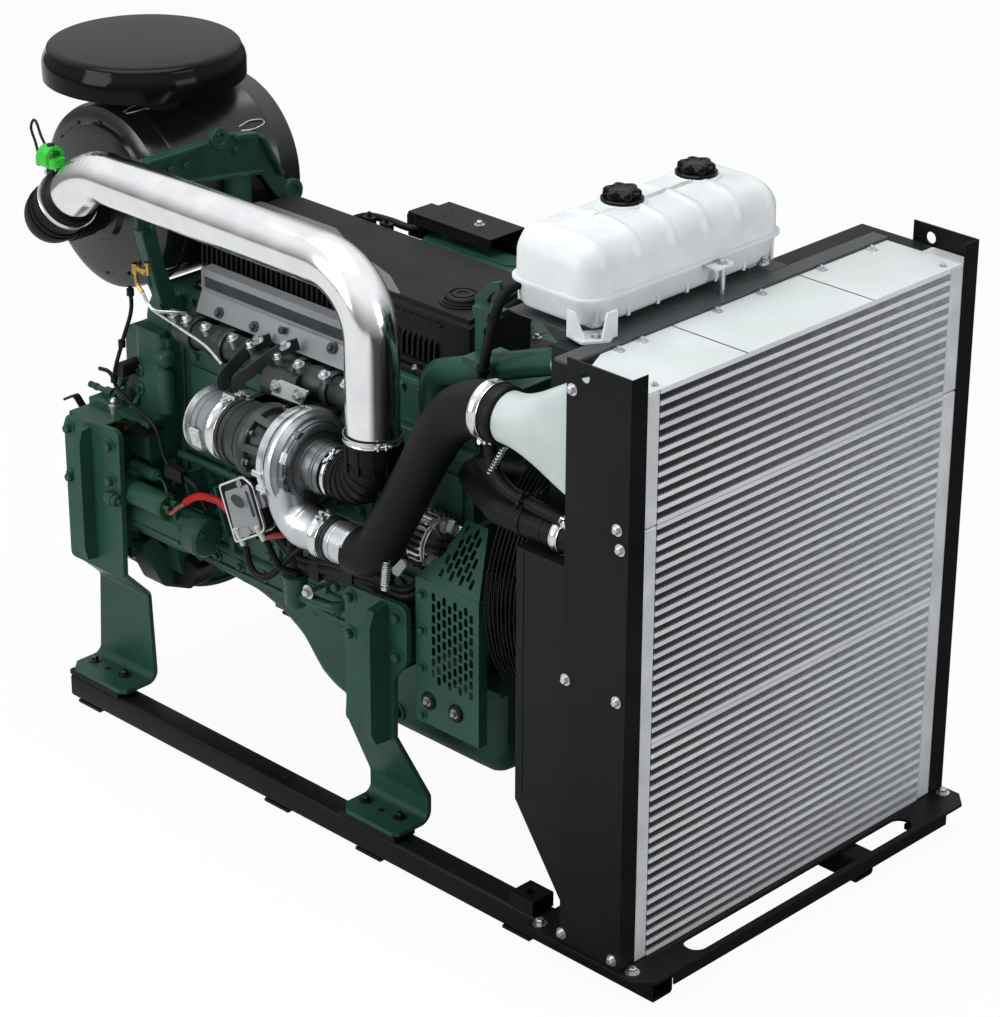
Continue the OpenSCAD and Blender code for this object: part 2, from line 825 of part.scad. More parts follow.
module exhaust_outlet() placed() color("#4a4c4b") difference() {
    union() {
        x_rod(outlet_r, outlet_rear + 6, turbine_rear, turbo_y, turbo_z);
        x_rod(outlet_bead_r, outlet_rear, outlet_rear + outlet_bead, turbo_y, turbo_z);
        x_rod(outlet_band_r, turbine_rear - 1 - outlet_band, turbine_rear - 1, turbo_y, turbo_z);
    }
    x_rod(exhaust_bore_r, outlet_rear - 1, turbine_rear - 10, turbo_y, turbo_z);
}

bearing_r = 62;
band_rear = -1041;
band_r = 106;
scroll_rear = -1021;
compressor_front = -960;
face_r = 92;
inlet_r = 51;
inlet_front = -905;
scroll_outlet_x = -1003;
scroll_outlet_r = 44;
outlet_y = -405;
outlet_z = 785;
outlet_front = -814;

module compressor_housing() placed() color(silver) {
    x_rod(bearing_r, turbine_front, band_rear + 1, turbo_y, turbo_z);
    x_rod(band_r, band_rear, scroll_rear + 1, turbo_y, turbo_z);
    x_rod(compressor_r, scroll_rear, compressor_front - 26, turbo_y, turbo_z);
    x_rod(face_r, compressor_front - 27, compressor_front, turbo_y, turbo_z);
    x_rod(inlet_r, compressor_front - 1, inlet_front, turbo_y, turbo_z);
    z_rod(scroll_outlet_r, outlet_z, turbo_z - 40, scroll_outlet_x, outlet_y);
    translate([scroll_outlet_x, outlet_y, outlet_z]) sphere(scroll_outlet_r + 1);
    x_rod(scroll_outlet_r, scroll_outlet_x, outlet_front, outlet_y, outlet_z);
}

elbow_r = 68;
drop_x = -783;
pipe_bottom_z = 1064;

module compressor_elbow() placed() color(rubber)
    run([
        [inlet_front, turbo_y, turbo_z], [drop_x, turbo_y, turbo_z],
        [drop_x, turbo_y, pipe_bottom_z]
    ], elbow_r, 90);

pipe_top_z = 1416;
knee_x = cleaner_x + 155;
knee_length = 82;
knee_dir = unit([knee_x - cleaner_x, 0, pipe_top_z - cleaner_z]);

module intake_pipe() placed() color("#d8dadd")
    run([
        [drop_x, turbo_y, pipe_bottom_z], [drop_x, turbo_y, pipe_top_z],
        [knee_x, turbo_y, pipe_top_z],
        [cleaner_x, turbo_y, cleaner_z] + knee_dir * knee_length
    ], pipe_r, 130);

module intake_elbow() placed() color(rubber)
    run([
        [cleaner_x, turbo_y, cleaner_z] + knee_dir * (knee_length - 0.2),
        [cleaner_x, turbo_y, cleaner_z],
        [cleaner_x, -cleaner_length / 2 - 40, cleaner_z]
    ], 74, 80);

module air_cleaner() placed() color(black) {
    y0 = -cleaner_length / 2;
    y_rod(cleaner_r, y0, -y0, cleaner_x, cleaner_z);
    y_rod(cleaner_r - 26, y0 - 20, y0 + 1, cleaner_x, cleaner_z);
    y_rod(70, y0 - 40, y0, cleaner_x, cleaner_z);
}

rain_y = -74;
rain_z = 1551;
rain_height = 86;
neck_rain_r = 100;

module rain_cap() placed() color(black) difference() {
    union() {
        z_rod(neck_rain_r, cleaner_z, rain_z + 10, cleaner_x, rain_y);
        translate([cleaner_x, rain_y, rain_z]) rotate_extrude() polygon([
            [0, 0], [rain_cap_r - 12, 0], [rain_cap_r, 14], [rain_cap_r, 48],
            [rain_cap_r - 12, 68], [rain_cap_r - 45, 80], [90, rain_height], [0, rain_height]
        ]);
    }
    y_rod(cleaner_r + 0.3, -400, 400, cleaner_x, cleaner_z);
}

bracket_x = block_rear;
eye1 = [-59, 1447];
eye2 = [163, 1262];

module bracket_eye(y, z, r) {
    x_rod(r, bracket_x, bracket_x + 14, y, z);
}

module air_cleaner_bracket() placed() color(green) difference() {
    union() {
        end_profile([
            [-head_half_width, 1040], [-236, 1040], [-262, 1100], [-285, 1150], [-315, 1290],
            [-315, 1342], [-296, 1352], [-296, 1450], [45, 1440], [110, 1356], [140, 1290],
            [176, 1250], [150, 1232], [110, 1262], [60, 1337], [-38, 1350], [-232, 1375],
            [-262, 1300], [-235, 1150], [-210, 1085], [-head_half_width, 1085]
        ], bracket_x, bracket_x + 14);
        bracket_eye(eye1[0], eye1[1], 27);
        bracket_eye(eye2[0], eye2[1], 31);
        box(bracket_x, bracket_x + 18, -38, 29, cover_joint_z, 1345);
        for (y = [-220, 10])
            box(bracket_x - 45, bracket_x + 1, y, y + 40, 1375, 1410);
    }
    x_rod(13, bracket_x - 1, bracket_x + 15, eye1[0], eye1[1]);
    x_rod(15, bracket_x - 1, bracket_x + 15, eye2[0], eye2[1]);
    y_rod(cleaner_r + 0.3, -400, 400, cleaner_x, cleaner_z);
}

/* ---- Charge air and coolant ---- */

cone_r = 56;
cone_z = 1222;
cone_rear = -385;

// The hose starts to rise past the elbow above it, further on where it is thicker
hose_rise_x = drop_x - 79 + 2 * hose_r;
hose_top_x = drop_x + elbow_r + 80 + 2 * hose_r;
hose_bends = [1.5 * (hose_rise_x - outlet_front), 185];

module charge_air_hose() placed() color(rubber)
    run([
        [outlet_front, outlet_y, outlet_z], [hose_rise_x, outlet_y, outlet_z],
        [hose_top_x, turbo_y, cone_z], [cone_rear, turbo_y, cone_z]
    ], hose_r, hose_bends);

module charge_air_cone() placed() color("#b9c4c4") hull() {
    x_rod(cone_r, cone_rear, cone_rear + 30, turbo_y, cone_z, $fn = 32);
    box(-end_tank_depth - 20, -end_tank_depth - 0.3,
        core_y0 - tank_gap - end_tank_width + 2, core_y0 - tank_gap - 6,
        split_z + 16, core_top - 10);
}

coolant_y = -240;

module coolant_pipe() placed() color(green)
    run([
        [-724, -head_half_width, 1060], [-724, coolant_y, 1060], [-724, coolant_y, 1180],
        [-350, coolant_y, 1318], [shroud_rear, coolant_y, 1318]
    ], 30, 50);

module coolant_hose() placed() color(rubber)
    run([
        [-end_tank_depth, turbo_y, 1006], [-400, turbo_y, 1006], [-560, -290, 1016],
        [-560, -120, 940], [block_front, -120, 940]
    ], 34, 50);

/* ---- Feet ---- */

foot_t = 12;
foot_pad_t = 14;
foot_z = rail_top + foot_pad_t;
front_foot_x = -812;
rear_foot_x = -1785;
foot_inner_y = -258;
foot_outer_y = -376;

// The bent strap seen from the end: flange, upright, joggle and upper plate
module foot_strap(x0, x1, joggle_z0, joggle_z1, top_z) {
    end_profile([
        [-rail_spacing / 2 - rail_width / 2 + 2, foot_z],
        [foot_inner_y, foot_z], [foot_inner_y, joggle_z0],
        [foot_outer_y + foot_t, joggle_z1], [foot_outer_y + foot_t, top_z],
        [foot_outer_y, top_z], [foot_outer_y, joggle_z1],
        [foot_inner_y - foot_t, joggle_z0], [foot_inner_y - foot_t, foot_z + foot_t],
        [-rail_spacing / 2 - rail_width / 2 + 2, foot_z + foot_t]
    ], x0, x1);
}

module foot_hole(x) z_rod(7, foot_z - 1, foot_z + foot_t + 1, x, -rail_spacing / 2 + 4);

// Ends of each strap and upper plate along X, and the heights of the plates
front_strap = [-905, -716];
front_plate = [-866, -670];
front_plate_z = [320, 657];
rear_strap = [-1880, -1690];
rear_plate = [-1830, -1560];
rear_plate_z = [415, 830];

module front_foot() color(green) difference() {
    union() {
        foot_strap(front_strap[0], front_strap[1], foot_z + 30, front_plate_z[0] + 10,
            front_plate_z[0] + 20);
        box(front_plate[0], front_plate[1], foot_outer_y, foot_outer_y + foot_t,
            front_plate_z[0], front_plate_z[1]);
        box(front_plate[0] + 16, front_plate[1] - 20, foot_outer_y + foot_t - 1,
            -block_half_width, 520, 620);
    }
    foot_hole(front_foot_x);
}

module rear_foot() color(green) difference() {
    union() {
        foot_strap(rear_strap[0], rear_strap[1], 314, rear_plate_z[0] + 5,
            rear_plate_z[0] + 15);
        box(rear_plate[0], rear_plate[1], foot_outer_y, foot_outer_y + foot_t,
            rear_plate_z[0], rear_plate_z[1]);
        box(rear_plate[0], timing_rear, foot_outer_y + foot_t - 1, -pad_half,
            rear_plate_z[0] + 25, rear_plate_z[1] - 40);
    }
    foot_hole(rear_foot_x);
}

module front_foot_left() placed() front_foot();
module front_foot_right() placed() mirror([0, 1, 0]) front_foot();
module rear_foot_left() placed() rear_foot();
module rear_foot_right() placed() mirror([0, 1, 0]) rear_foot();

module foot_pads() placed() color(rubber)
    for (side = [-1, 1], x = [front_foot_x, rear_foot_x])
        box(x - 92, x + 92, side * rail_spacing / 2 - rail_width / 2,
            side * rail_spacing / 2 + rail_width / 2, rail_top, foot_z);

/* ---- Far side ---- */

module intake_manifold() placed() color(green)
    end_profile([
        [block_half_width, 940], [290, 970], [290, 1100], [head_half_width, 1100],
        [head_half_width, head_joint_z], [block_half_width, head_joint_z]
    ], manifold_rear, -760);

cooler_x = -1203;
cooler_y = 168;
cooler_height = 140;

module cooler_housing() placed() color(green)
    translate([cooler_x, cooler_y, cover_joint_z]) linear_extrude(cooler_height)
        round_rect(320, 94, 40);

sheet_x = [-1222, -976];
sheet_y = [190, 304];
sheet_z = [1100, 1300];

module control_box() placed() color(black) {
    box(sheet_x[0], sheet_x[1], sheet_y[1] - 14, sheet_y[1], sheet_z[0], sheet_z[1]);
    box(sheet_x[0], sheet_x[1], sheet_y[0], sheet_y[1] - 13, sheet_z[1] - 4, sheet_z[1]);
}

rail_left();
rail_right();
rail_pads();
base_plate();
radiator_mounts();
radiator_core();
charge_air_cooler();
radiator_end_tanks();
charge_air_end_tanks();
side_plate_left();
side_plate_right();
top_covers();
top_channel();
fan_shroud();
fan_guard();
fan();
fan_drive();
expansion_tank();
expansion_tank_caps();
tank_bracket();
cylinder_block();
oil_sump();
cylinder_head();
rocker_cover();
oil_filler_cap();
flywheel_housing();
flywheel();
timing_cover();
crank_pulley();
drive_belt();
alternator();
starter_motor();
belt_guard();
exhaust_manifold();
heat_shield();
turbine_housing();
exhaust_outlet();
compressor_housing();
compressor_elbow();
intake_pipe();
intake_elbow();
air_cleaner();
rain_cap();
air_cleaner_bracket();
charge_air_hose();
charge_air_cone();
coolant_pipe();
coolant_hose();
front_foot_left();
front_foot_right();
rear_foot_left();
rear_foot_right();
foot_pads();
intake_manifold();
cooler_housing();
control_box();
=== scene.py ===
"""Looks of a six-cylinder diesel engine with its radiator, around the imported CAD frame.

Pieces are worked out in engine millimetres: x = 0 at the front face of the radiator core,
y = 0 at the crankshaft, z = 0 on the floor. to_frame() moves them into the frame.
"""
import math

import bmesh
import bpy
import numpy as np
from mathutils import Matrix, Vector
from mathutils.geometry import tessellate_polygon


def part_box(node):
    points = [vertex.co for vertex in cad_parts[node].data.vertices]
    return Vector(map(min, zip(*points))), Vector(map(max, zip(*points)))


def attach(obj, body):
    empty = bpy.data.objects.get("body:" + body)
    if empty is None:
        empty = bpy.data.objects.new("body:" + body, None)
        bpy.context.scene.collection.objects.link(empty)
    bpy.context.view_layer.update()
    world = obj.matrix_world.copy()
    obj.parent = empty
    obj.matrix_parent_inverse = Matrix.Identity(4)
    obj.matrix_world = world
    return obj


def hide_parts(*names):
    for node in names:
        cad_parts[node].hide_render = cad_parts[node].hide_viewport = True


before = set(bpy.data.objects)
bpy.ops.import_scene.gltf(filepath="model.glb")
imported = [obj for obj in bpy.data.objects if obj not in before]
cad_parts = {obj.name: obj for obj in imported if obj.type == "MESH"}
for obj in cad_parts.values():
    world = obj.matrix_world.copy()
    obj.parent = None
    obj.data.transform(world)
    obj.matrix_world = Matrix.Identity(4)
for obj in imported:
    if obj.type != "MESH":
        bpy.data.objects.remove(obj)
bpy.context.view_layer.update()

MM = 0.001
core_low, core_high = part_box("radiator_core")
pulley_low, pulley_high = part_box("crank_pulley")
ORIGIN = np.array([core_high.x, (pulley_low.y + pulley_high.y) / 2, 0.0])


def near(node):
    """Lowest and highest corner of a CAD node, in engine millimetres."""
    low, high = np.array([tuple(corner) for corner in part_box(node)])
    return (low - ORIGIN) / MM, (high - ORIGIN) / MM


def extent(node):
    return np.concatenate(near(node))


def middle(node):
    low, high = near(node)
    return (low + high) / 2


# ---- Camera ----

def make_camera():
    """A long lens that looks down on the near side and the front of the radiator."""
    azimuth, elevation, roll = (math.radians(a) for a in (44.42528, 25.213272, 0.23835))
    back = Vector((math.sin(azimuth) * math.cos(elevation), -math.cos(azimuth) * math.cos(elevation),
        math.sin(elevation)))
    level = Vector((math.cos(azimuth), math.sin(azimuth), 0))
    rise = back.cross(level)
    right = level * math.cos(roll) + rise * math.sin(roll)
    up = rise * math.cos(roll) - level * math.sin(roll)
    data = bpy.data.cameras.new("camera")
    data.lens = 118.314
    data.sensor_width = 36
    camera = bpy.data.objects.new("camera", data)
    bpy.context.scene.collection.objects.link(camera)
    place = Vector(np.array([3988.746, -4840.347, 3959.72]) * MM + ORIGIN)
    turn = Matrix((right, up, back)).transposed().to_4x4()
    camera.matrix_world = Matrix.Translation(place) @ turn
    bpy.context.scene.camera = camera


make_camera()


# ---- Materials ----

def linear(code):
    """sRGB hex to linear RGBA."""
    parts = [int(code[i:i + 2], 16) / 255 for i in (1, 3, 5)]
    return (*[c / 12.92 if c <= 0.04045 else ((c + 0.055) / 1.055) ** 2.4 for c in parts], 1)


def add(tree, kind, values=None, links=None, **settings):
    """Adds a shader node with its settings, socket values and incoming links."""
    node = tree.nodes.new("ShaderNode" + kind)
    for name, value in settings.items():
        setattr(node, name, value)
    for socket, value in (values or {}).items():
        node.inputs[socket].default_value = value
    for socket, source in (links or {}).items():
        tree.links.new(source, node.inputs[socket])
    return node


def finish(name, slot, dark, light, rough=(0.35, 0.45), cloud_mm=120, grain_mm=2.0, height_mm=0.04,
        stretch=(1, 1, 1), metallic=0.0, **sockets):
    """A surface whose colour wanders between two hex values in clouds of one size, whose
    roughness follows the clouds, and whose bump is a finer grain. stretch scales the
    pattern along x, y and z, so that a small value draws it out into streaks. slot is
    not used."""
    material = bpy.data.materials.new(name)
    material.use_nodes = True
    tree = material.node_tree
    shader = tree.nodes["Principled BSDF"]
    shader.inputs["Metallic"].default_value = metallic
    for socket, value in sockets.items():
        shader.inputs[socket.replace("_", " ")].default_value = value
    place = add(tree, "TexCoord").outputs["Object"]
    drawn = add(tree, "Mapping", {"Scale": stretch}, {"Vector": place}).outputs["Vector"]
    cloud = add(tree, "TexNoise", {"Scale": 1000 / cloud_mm, "Detail": 4.0}, {"Vector": drawn})
    ramp = add(tree, "ValToRGB", None, {"Fac": cloud.outputs["Fac"]})
    for stop, place_on_ramp, code in zip(ramp.color_ramp.elements, (0.3, 0.7), (dark, light)):
        stop.position = place_on_ramp
        stop.color = linear(code)
    tree.links.new(ramp.outputs["Color"], shader.inputs["Base Color"])
    shine = add(tree, "MapRange", {"From Min": 0.3, "From Max": 0.7, "To Min": rough[0],
        "To Max": rough[1]}, {"Value": cloud.outputs["Fac"]})
    tree.links.new(shine.outputs["Result"], shader.inputs["Roughness"])
    grain = add(tree, "TexNoise", {"Scale": 1000 / grain_mm, "Detail": 2.0}, {"Vector": drawn})
    bump = add(tree, "Bump", {"Strength": 1.0, "Distance": height_mm * MM},
        {"Height": grain.outputs["Fac"]})
    tree.links.new(bump.outputs["Normal"], shader.inputs["Normal"])
    return material


# Engine enamel over sand castings: even colour, soft gloss, the casting's grain below it
GREEN_CAST = finish("green_enamel_on_casting", "green_paint", "#1c3c31", "#24493b", (0.34, 0.48), 90,
    3.0, 0.25, Specular_IOR_Level=0.24)
# The same enamel on pressed and cut plate, smoother
GREEN_PLATE = finish("green_enamel_on_plate", "green_paint", "#1d3f33", "#244a3c", (0.32, 0.4), 160,
    2.0, 0.04, Specular_IOR_Level=0.18)
# Powder coat on steel: nearly black, a fine orange peel
BLACK_COAT = finish("black_powder_coat", "black_paint", "#0e0f10", "#151617", (0.38, 0.48), 200, 1.6,
    0.05, Specular_IOR_Level=0.12)
# Gloss stove enamel on the air cleaner: deep black with clear highlights
BLACK_GLOSS = finish("black_gloss_enamel", "canister_paint", "#121315", "#1b1c1e", (0.2, 0.28), 220,
    4.0, 0.03)
# Glass-filled nylon: moulded, satin, slightly grey
BLACK_NYLON = finish("black_moulded_nylon", "black_plastic", "#121314", "#191a1c", (0.4, 0.52), 120,
    1.2, 0.08, Specular_IOR_Level=0.12)
# EPDM rubber hose: cloth-wrapped while cured, so a faint weave and a soft sheen
RUBBER = finish("black_hose_rubber", "rubber", "#0d0e0e", "#131415", (0.42, 0.56), 80, 1.5, 0.1,
    Specular_IOR_Level=0.12)
# Rolled aluminium bar of the radiator core, bright with light streaks along the rolling
CORE_BAR = finish("rolled_aluminium_bar", "core_fins", "#d0d2d7", "#e6e8eb", (0.34, 0.46), 60, 1.5,
    0.03, stretch=(1, 0.1, 1), metallic=0.35)
# Thin folded aluminium fin stock, duller from the brazing flux; radiator() darkens its colour along y as
# painted shade
FIN_STOCK = finish("brazed_fin_stock", "core_fins", "#c6c9cf", "#dfe2e7", (0.4, 0.55), 30, 1.0, 0.03,
    metallic=0.15)
# Inside of the core between the fins: coloured darker than the fins as painted shade
CORE_DEPTH = finish("core_inside_painted_shade", "core_fins", "#6b6e74", "#7d8087", (0.6, 0.7), 40, 2.0, 0.02)
# Brazed aluminium end tanks, matt and pale
END_TANK = finish("brazed_aluminium_tank", "end_tank_metal", "#c0c3c7", "#d2d5d8", (0.42, 0.52), 90,
    2.0, 0.05, metallic=0.3)
# Pale grey coated sheet over the core
COVER_COAT = finish("pale_grey_coat", "pale_cover", "#c3caca", "#d0d6d7", (0.38, 0.46), 150, 2.0, 0.03)
# Pale coated casting of the charge air inlet cone
CONE_COAT = finish("pale_grey_green_coat", "cone_paint", "#adb9b8", "#bcc7c6", (0.36, 0.46), 110, 2.0, 0.04)
# Blow-moulded polyethylene: milky, waxy, light passes a little way in
TANK_PLASTIC = finish("milky_polyethylene", "tank_plastic", "#c9cfd2", "#d8dcde", (0.3, 0.4), 90, 3.0,
    0.06, Subsurface_Weight=0.25, Subsurface_Scale=0.01)
# Glossy moulded plastic of the rain cap and the filler caps
CAP_GLOSS = finish("black_gloss_plastic", "cap_plastic", "#08090a", "#0d0e0f", (0.08, 0.12), 160, 3.0,
    0.02, Specular_IOR_Level=0.1)
# Polished aluminised tube: mirror-like with long faint streaks
POLISHED = finish("polished_tube", "polished_pipe", "#e2e3e6", "#eeeff1", (0.12, 0.2), 60, 3.0, 0.03,
    metallic=1.0)
# Sand-cast aluminium: bright but rough, with a visible grain
CAST_ALU = finish("cast_aluminium", "cast_aluminium", "#b4b7ba", "#cdd0d2", (0.28, 0.38), 50, 2.5,
    0.14, metallic=0.9)
# Cast iron of the turbine and the manifold: dark, dry, coarse
CAST_IRON = finish("dark_cast_iron", "cast_iron", "#2c3031", "#3d4142", (0.4, 0.52), 50, 2.5, 0.2,
    metallic=0.6)
# Aluminised sheet of the heat shield, satin
SHIELD = finish("aluminised_sheet", "shield_steel", "#7f8285", "#929598", (0.34, 0.44), 80, 1.5, 0.04,
    stretch=(0.2, 1, 1), metallic=0.6)
# Turned steel of the flywheel and shafts, fine tool marks
STEEL = finish("turned_steel", "machined_steel", "#83868a", "#9b9ea1", (0.26, 0.36), 60, 1.0, 0.03,
    metallic=1.0)
# Zinc-plated fasteners
ZINC = finish("zinc_plate", "machined_steel", "#b4b7ba", "#cfd1d3", (0.24, 0.34), 20, 1.0, 0.01,
    metallic=0.9)
# The stepped face of the compressor, coloured darker than the rest of the casting
ALU_FACE = finish("darker_aluminium_face", "cast_aluminium", "#5f6265", "#7b7e81", (0.3, 0.4), 50, 2.5,
    0.14, metallic=0.9)
# Dull zinc-plated sheet, pale and even
ZINC_SHEET = finish("zinc_plated_sheet", "shield_steel", "#adb3af", "#bcc2be", (0.42, 0.5), 60, 1.0,
    0.01, metallic=0.15)
# Stainless band clamps, bright
STAINLESS = finish("stainless_band", "machined_steel", "#c6c8cb", "#dcdee0", (0.16, 0.24), 25, 1.0,
    0.02, metallic=0.95)
# Brass fitting
BRASS = finish("brass", "machined_steel", "#a58540", "#c3a45c", (0.24, 0.34), 20, 1.0, 0.02, metallic=1.0)
# Enamelled copper windings
COPPER = finish("enamelled_copper", "machined_steel", "#6e4634", "#94674c", (0.3, 0.4), 12, 1.0, 0.05,
    metallic=0.8)
# Red battery cable sheath
RED_SHEATH = finish("red_cable_sheath", "rubber", "#8c0508", "#a1080b", (0.38, 0.48), 20, 1.0, 0.03,
    Specular_IOR_Level=0.25)
# Bright green clip of moulded nylon
GREEN_NYLON = finish("bright_green_nylon", "cap_plastic", "#23a32a", "#33bb35", (0.32, 0.42), 20, 1.0, 0.03)
# Belt rubber, ribbed and dull
BELT = finish("belt_rubber", "belt_rubber", "#161617", "#202021", (0.55, 0.68), 30, 1.0, 0.1)
# Dark grey coated steel of the channel and the brackets
GREY_COAT = finish("dark_grey_coat", "black_paint", "#35383a", "#424547", (0.4, 0.5), 120, 1.6, 0.04,
    Specular_IOR_Level=0.3)
# Bare satin trim plate on the rocker cover
GREY_TRIM = finish("bare_trim_plate", "shield_steel", "#4f5153", "#5b5d5f", (0.34, 0.42), 160, 1.5,
    0.02, stretch=(0.2, 1, 1))
# Black-oxide screws of the feet
STEEL_DARK = finish("black_oxide_steel", "machined_steel", "#26282a", "#3a3c3e", (0.3, 0.4), 20, 1.0,
    0.02, metallic=0.8)


# ---- Surfaces ----
# A part is (points, faces): points [n, xyz] in engine millimetres, and a list of index
# arrays, one for each number of corners.

AXES = {"x": np.array([1.0, 0, 0]), "y": np.array([0, 1.0, 0]), "z": np.array([0, 0, 1.0])}


def unit(v):
    v = np.asarray(v, float)
    return v / np.linalg.norm(v)


def sides_of(along):
    """Two unit vectors square to a direction and to each other."""
    start = AXES["z"] if abs(along[2]) < 0.9 else AXES["x"]
    side = unit(np.cross(start, along))
    return side, np.cross(along, side)


def round_steps(count):
    """Even steps of a full turn, in radians."""
    return np.linspace(0, 2 * np.pi, count, endpoint=False)


def outward(part):
    """Turns every face of a closed part so that the volume it bounds is positive."""
    points, faces = part
    volume = 0.0
    for f in faces:
        for k in range(1, f.shape[1] - 1):
            a, b, c = points[f[:, 0]], points[f[:, k]], points[f[:, k + 1]]
            volume += np.einsum("ij,ij->i", a, np.cross(b, c)).sum()
    return part if volume >= 0 else (points, [f[:, ::-1] for f in faces])


def joined(*parts):
    """Several parts as one."""
    points, faces, start = [], [], 0
    for p, fs in parts:
        points.append(p)
        faces += [f + start for f in fs]
        start += len(p)
    return np.vstack(points), faces


def mirrored(part):
    """The part on the other side of the crankshaft plane, y to -y."""
    return part[0] * (1, -1, 1), [f[:, ::-1] for f in part[1]]


def both(parts):
    """Parts of the near side, and their mirror images on the far side."""
    return parts + [mirrored(p) for p in parts]


def grid(points, wrap_rows=False, wrap_columns=False):
    """Quads over an array of points [row, column, xyz]."""
    rows, columns = points.shape[:2]
    index = np.arange(rows * columns).reshape(rows, columns)
    if wrap_rows:
        index = np.vstack([index, index[:1]])
    if wrap_columns:
        index = np.hstack([index, index[:, :1]])
    quads = np.stack([index[:-1, :-1], index[1:, :-1], index[1:, 1:], index[:-1, 1:]], -1)
    return points.reshape(-1, 3), [quads.reshape(-1, 4)]


def skin(rings):
    """Closed rings [ring, point, xyz] joined in order, with a flat face at each end."""
    rows, columns = rings.shape[:2]
    points, faces = grid(rings, wrap_columns=True)
    ends = np.array([np.arange(columns)[::-1], (rows - 1) * columns + np.arange(columns)])
    return outward((points, faces + [ends]))


def lathe(profile, at, axis="x", sides=48, loop=False, lobes=None):
    """A profile of (distance along, radius) turned round an axis through a point:
    point = at + along a + r (cos t u + sin t v). lobes(t) multiplies the radius."""
    along = AXES[axis] if isinstance(axis, str) else unit(axis)
    u, v = sides_of(along)
    profile = np.array(profile, float)
    t = round_steps(sides)
    r = profile[:, 1, None] * (np.ones(sides) if lobes is None else lobes(t))
    rings = (np.asarray(at, float) + profile[:, 0, None, None] * along + (r * np.cos(t))[..., None] * u
        + (r * np.sin(t))[..., None] * v)
    return outward(grid(rings, True, True)) if loop else skin(rings)


def band(at, axis, inner, outer, low, high, sides=48):
    """A flat ring between two radii and two distances along an axis."""
    return lathe([(low, inner), (low, outer), (high, outer), (high, inner)], at, axis, sides, loop=True)


def rod(at, axis, r, low, high, sides=20):
    """A plain cylinder between two distances along an axis."""
    return lathe([(low, r), (high, r)], at, axis, sides)


def frames(path):
    """A direction and two sides at each point of a path, carried along without twist."""
    steps = np.diff(path, axis=0)
    ahead = np.vstack([steps[:1], steps])
    behind = np.vstack([steps, steps[-1:]])
    along = ahead / np.linalg.norm(ahead, axis=1)[:, None]
    along = along + behind / np.linalg.norm(behind, axis=1)[:, None]
    along /= np.linalg.norm(along, axis=1)[:, None]
    side = sides_of(along[0])[0]
    u = np.empty_like(path)
    for i, direction in enumerate(along):
        side = unit(side - direction * (side @ direction))
        u[i] = side
    return along, u, np.cross(along, u)


def gone_along(path):
    """How far each point of a path is from its start, measured along it."""
    steps = np.linalg.norm(np.diff(path, axis=0), axis=1)
    return np.concatenate([[0], np.cumsum(steps)])


def sweep(path, section, scale=1.0):
    """A closed outline [m, 2] carried along a path: point = path + s (a u + b v)."""
    path = np.asarray(path, float)
    section = np.asarray(section, float)
    _, u, v = frames(path)
    s = np.broadcast_to(np.asarray(scale, float), (len(path),))[:, None, None]
    return skin(path[:, None] + s * (section[None, :, :1] * u[:, None] + section[None, :, 1:] * v[:,
        None]))


def tube(path, radius, sides=20):
    """A round bar along a path; radius is one number or one for each point."""
    t = round_steps(sides)
    return sweep(path, np.stack([np.cos(t), np.sin(t)], 1), radius)


def arc_path(points, bend, steps=10, spacing=None):
    """Straight runs between points, with an arc at each inner point; bend is one radius or
    one for each. spacing fills the straight runs with points no further apart than that."""
    points = [np.asarray(p, float) for p in points]
    out = [points[0]]
    last = len(points) - 3
    bends = np.broadcast_to(bend, (last + 1,))
    for i, (a, p, b) in enumerate(zip(points, points[1:], points[2:])):
        u, v = unit(p - a), unit(b - p)
        turn = math.acos(np.clip(u @ v, -1, 1))
        if turn < 0.01:
            out.append(p)
            continue
        room = min((0.95 if i == 0 else 0.49) * np.linalg.norm(p - a),
            (0.95 if i == last else 0.49) * np.linalg.norm(b - p))
        radius = min(bends[i], room / math.tan(turn / 2))
        n = unit(v - (u @ v) * u)
        centre = p - u * radius * math.tan(turn / 2) + n * radius
        for k in range(steps + 1):
            w = turn * k / steps
            out.append(centre - n * radius * math.cos(w) + u * radius * math.sin(w))
    out.append(points[-1])
    if spacing is None:
        return np.array(out)
    filled = [out[0]]
    for a, b in zip(out, out[1:]):
        count = max(1, math.ceil(np.linalg.norm(b - a) / spacing))
        filled += [a + (b - a) * k / count for k in range(1, count + 1)]
    return np.array(filled)


def spline(points, steps=8):
    """A smooth curve through the points: Catmull-Rom, steps between each pair."""
    p = np.asarray(points, float)
    p = np.vstack([2 * p[0] - p[1], p, 2 * p[-1] - p[-2]])
    t = np.linspace(0, 1, steps, endpoint=False)[:, None, None]
    a, b, c, d = p[:-3], p[1:-2], p[2:-1], p[3:]
    curve = 0.5 * (2 * b + (c - a) * t + (2 * a - 5 * b + 4 * c - d) * t ** 2
        + (3 * b - a - 3 * c + d) * t ** 3)
    return np.vstack([curve.transpose(1, 0, 2).reshape(-1, 3), p[-2:-1]])


def cord(points, radius, sides, steps=8):
    """A round cord or thin pipe along a smooth curve through the points."""
    return tube(spline(points, steps), radius, sides)


def rect(a0, a1, b0, b1, r=0.0, steps=4):
    """Outline of a rectangle, its corners arcs of radius r."""
    if r == 0:
        return np.array([(a0, b0), (a1, b0), (a1, b1), (a0, b1)], float)
    t = np.linspace(0, np.pi / 2, steps + 1)
    corners = [(a1 - r, b1 - r, 0), (a0 + r, b1 - r, 1), (a0 + r, b0 + r, 2), (a1 - r, b0 + r, 3)]
    return np.vstack([np.stack([a + r * np.cos(t + q * np.pi / 2), b + r * np.sin(t + q * np.pi / 2)],
        1) for a, b, q in corners])


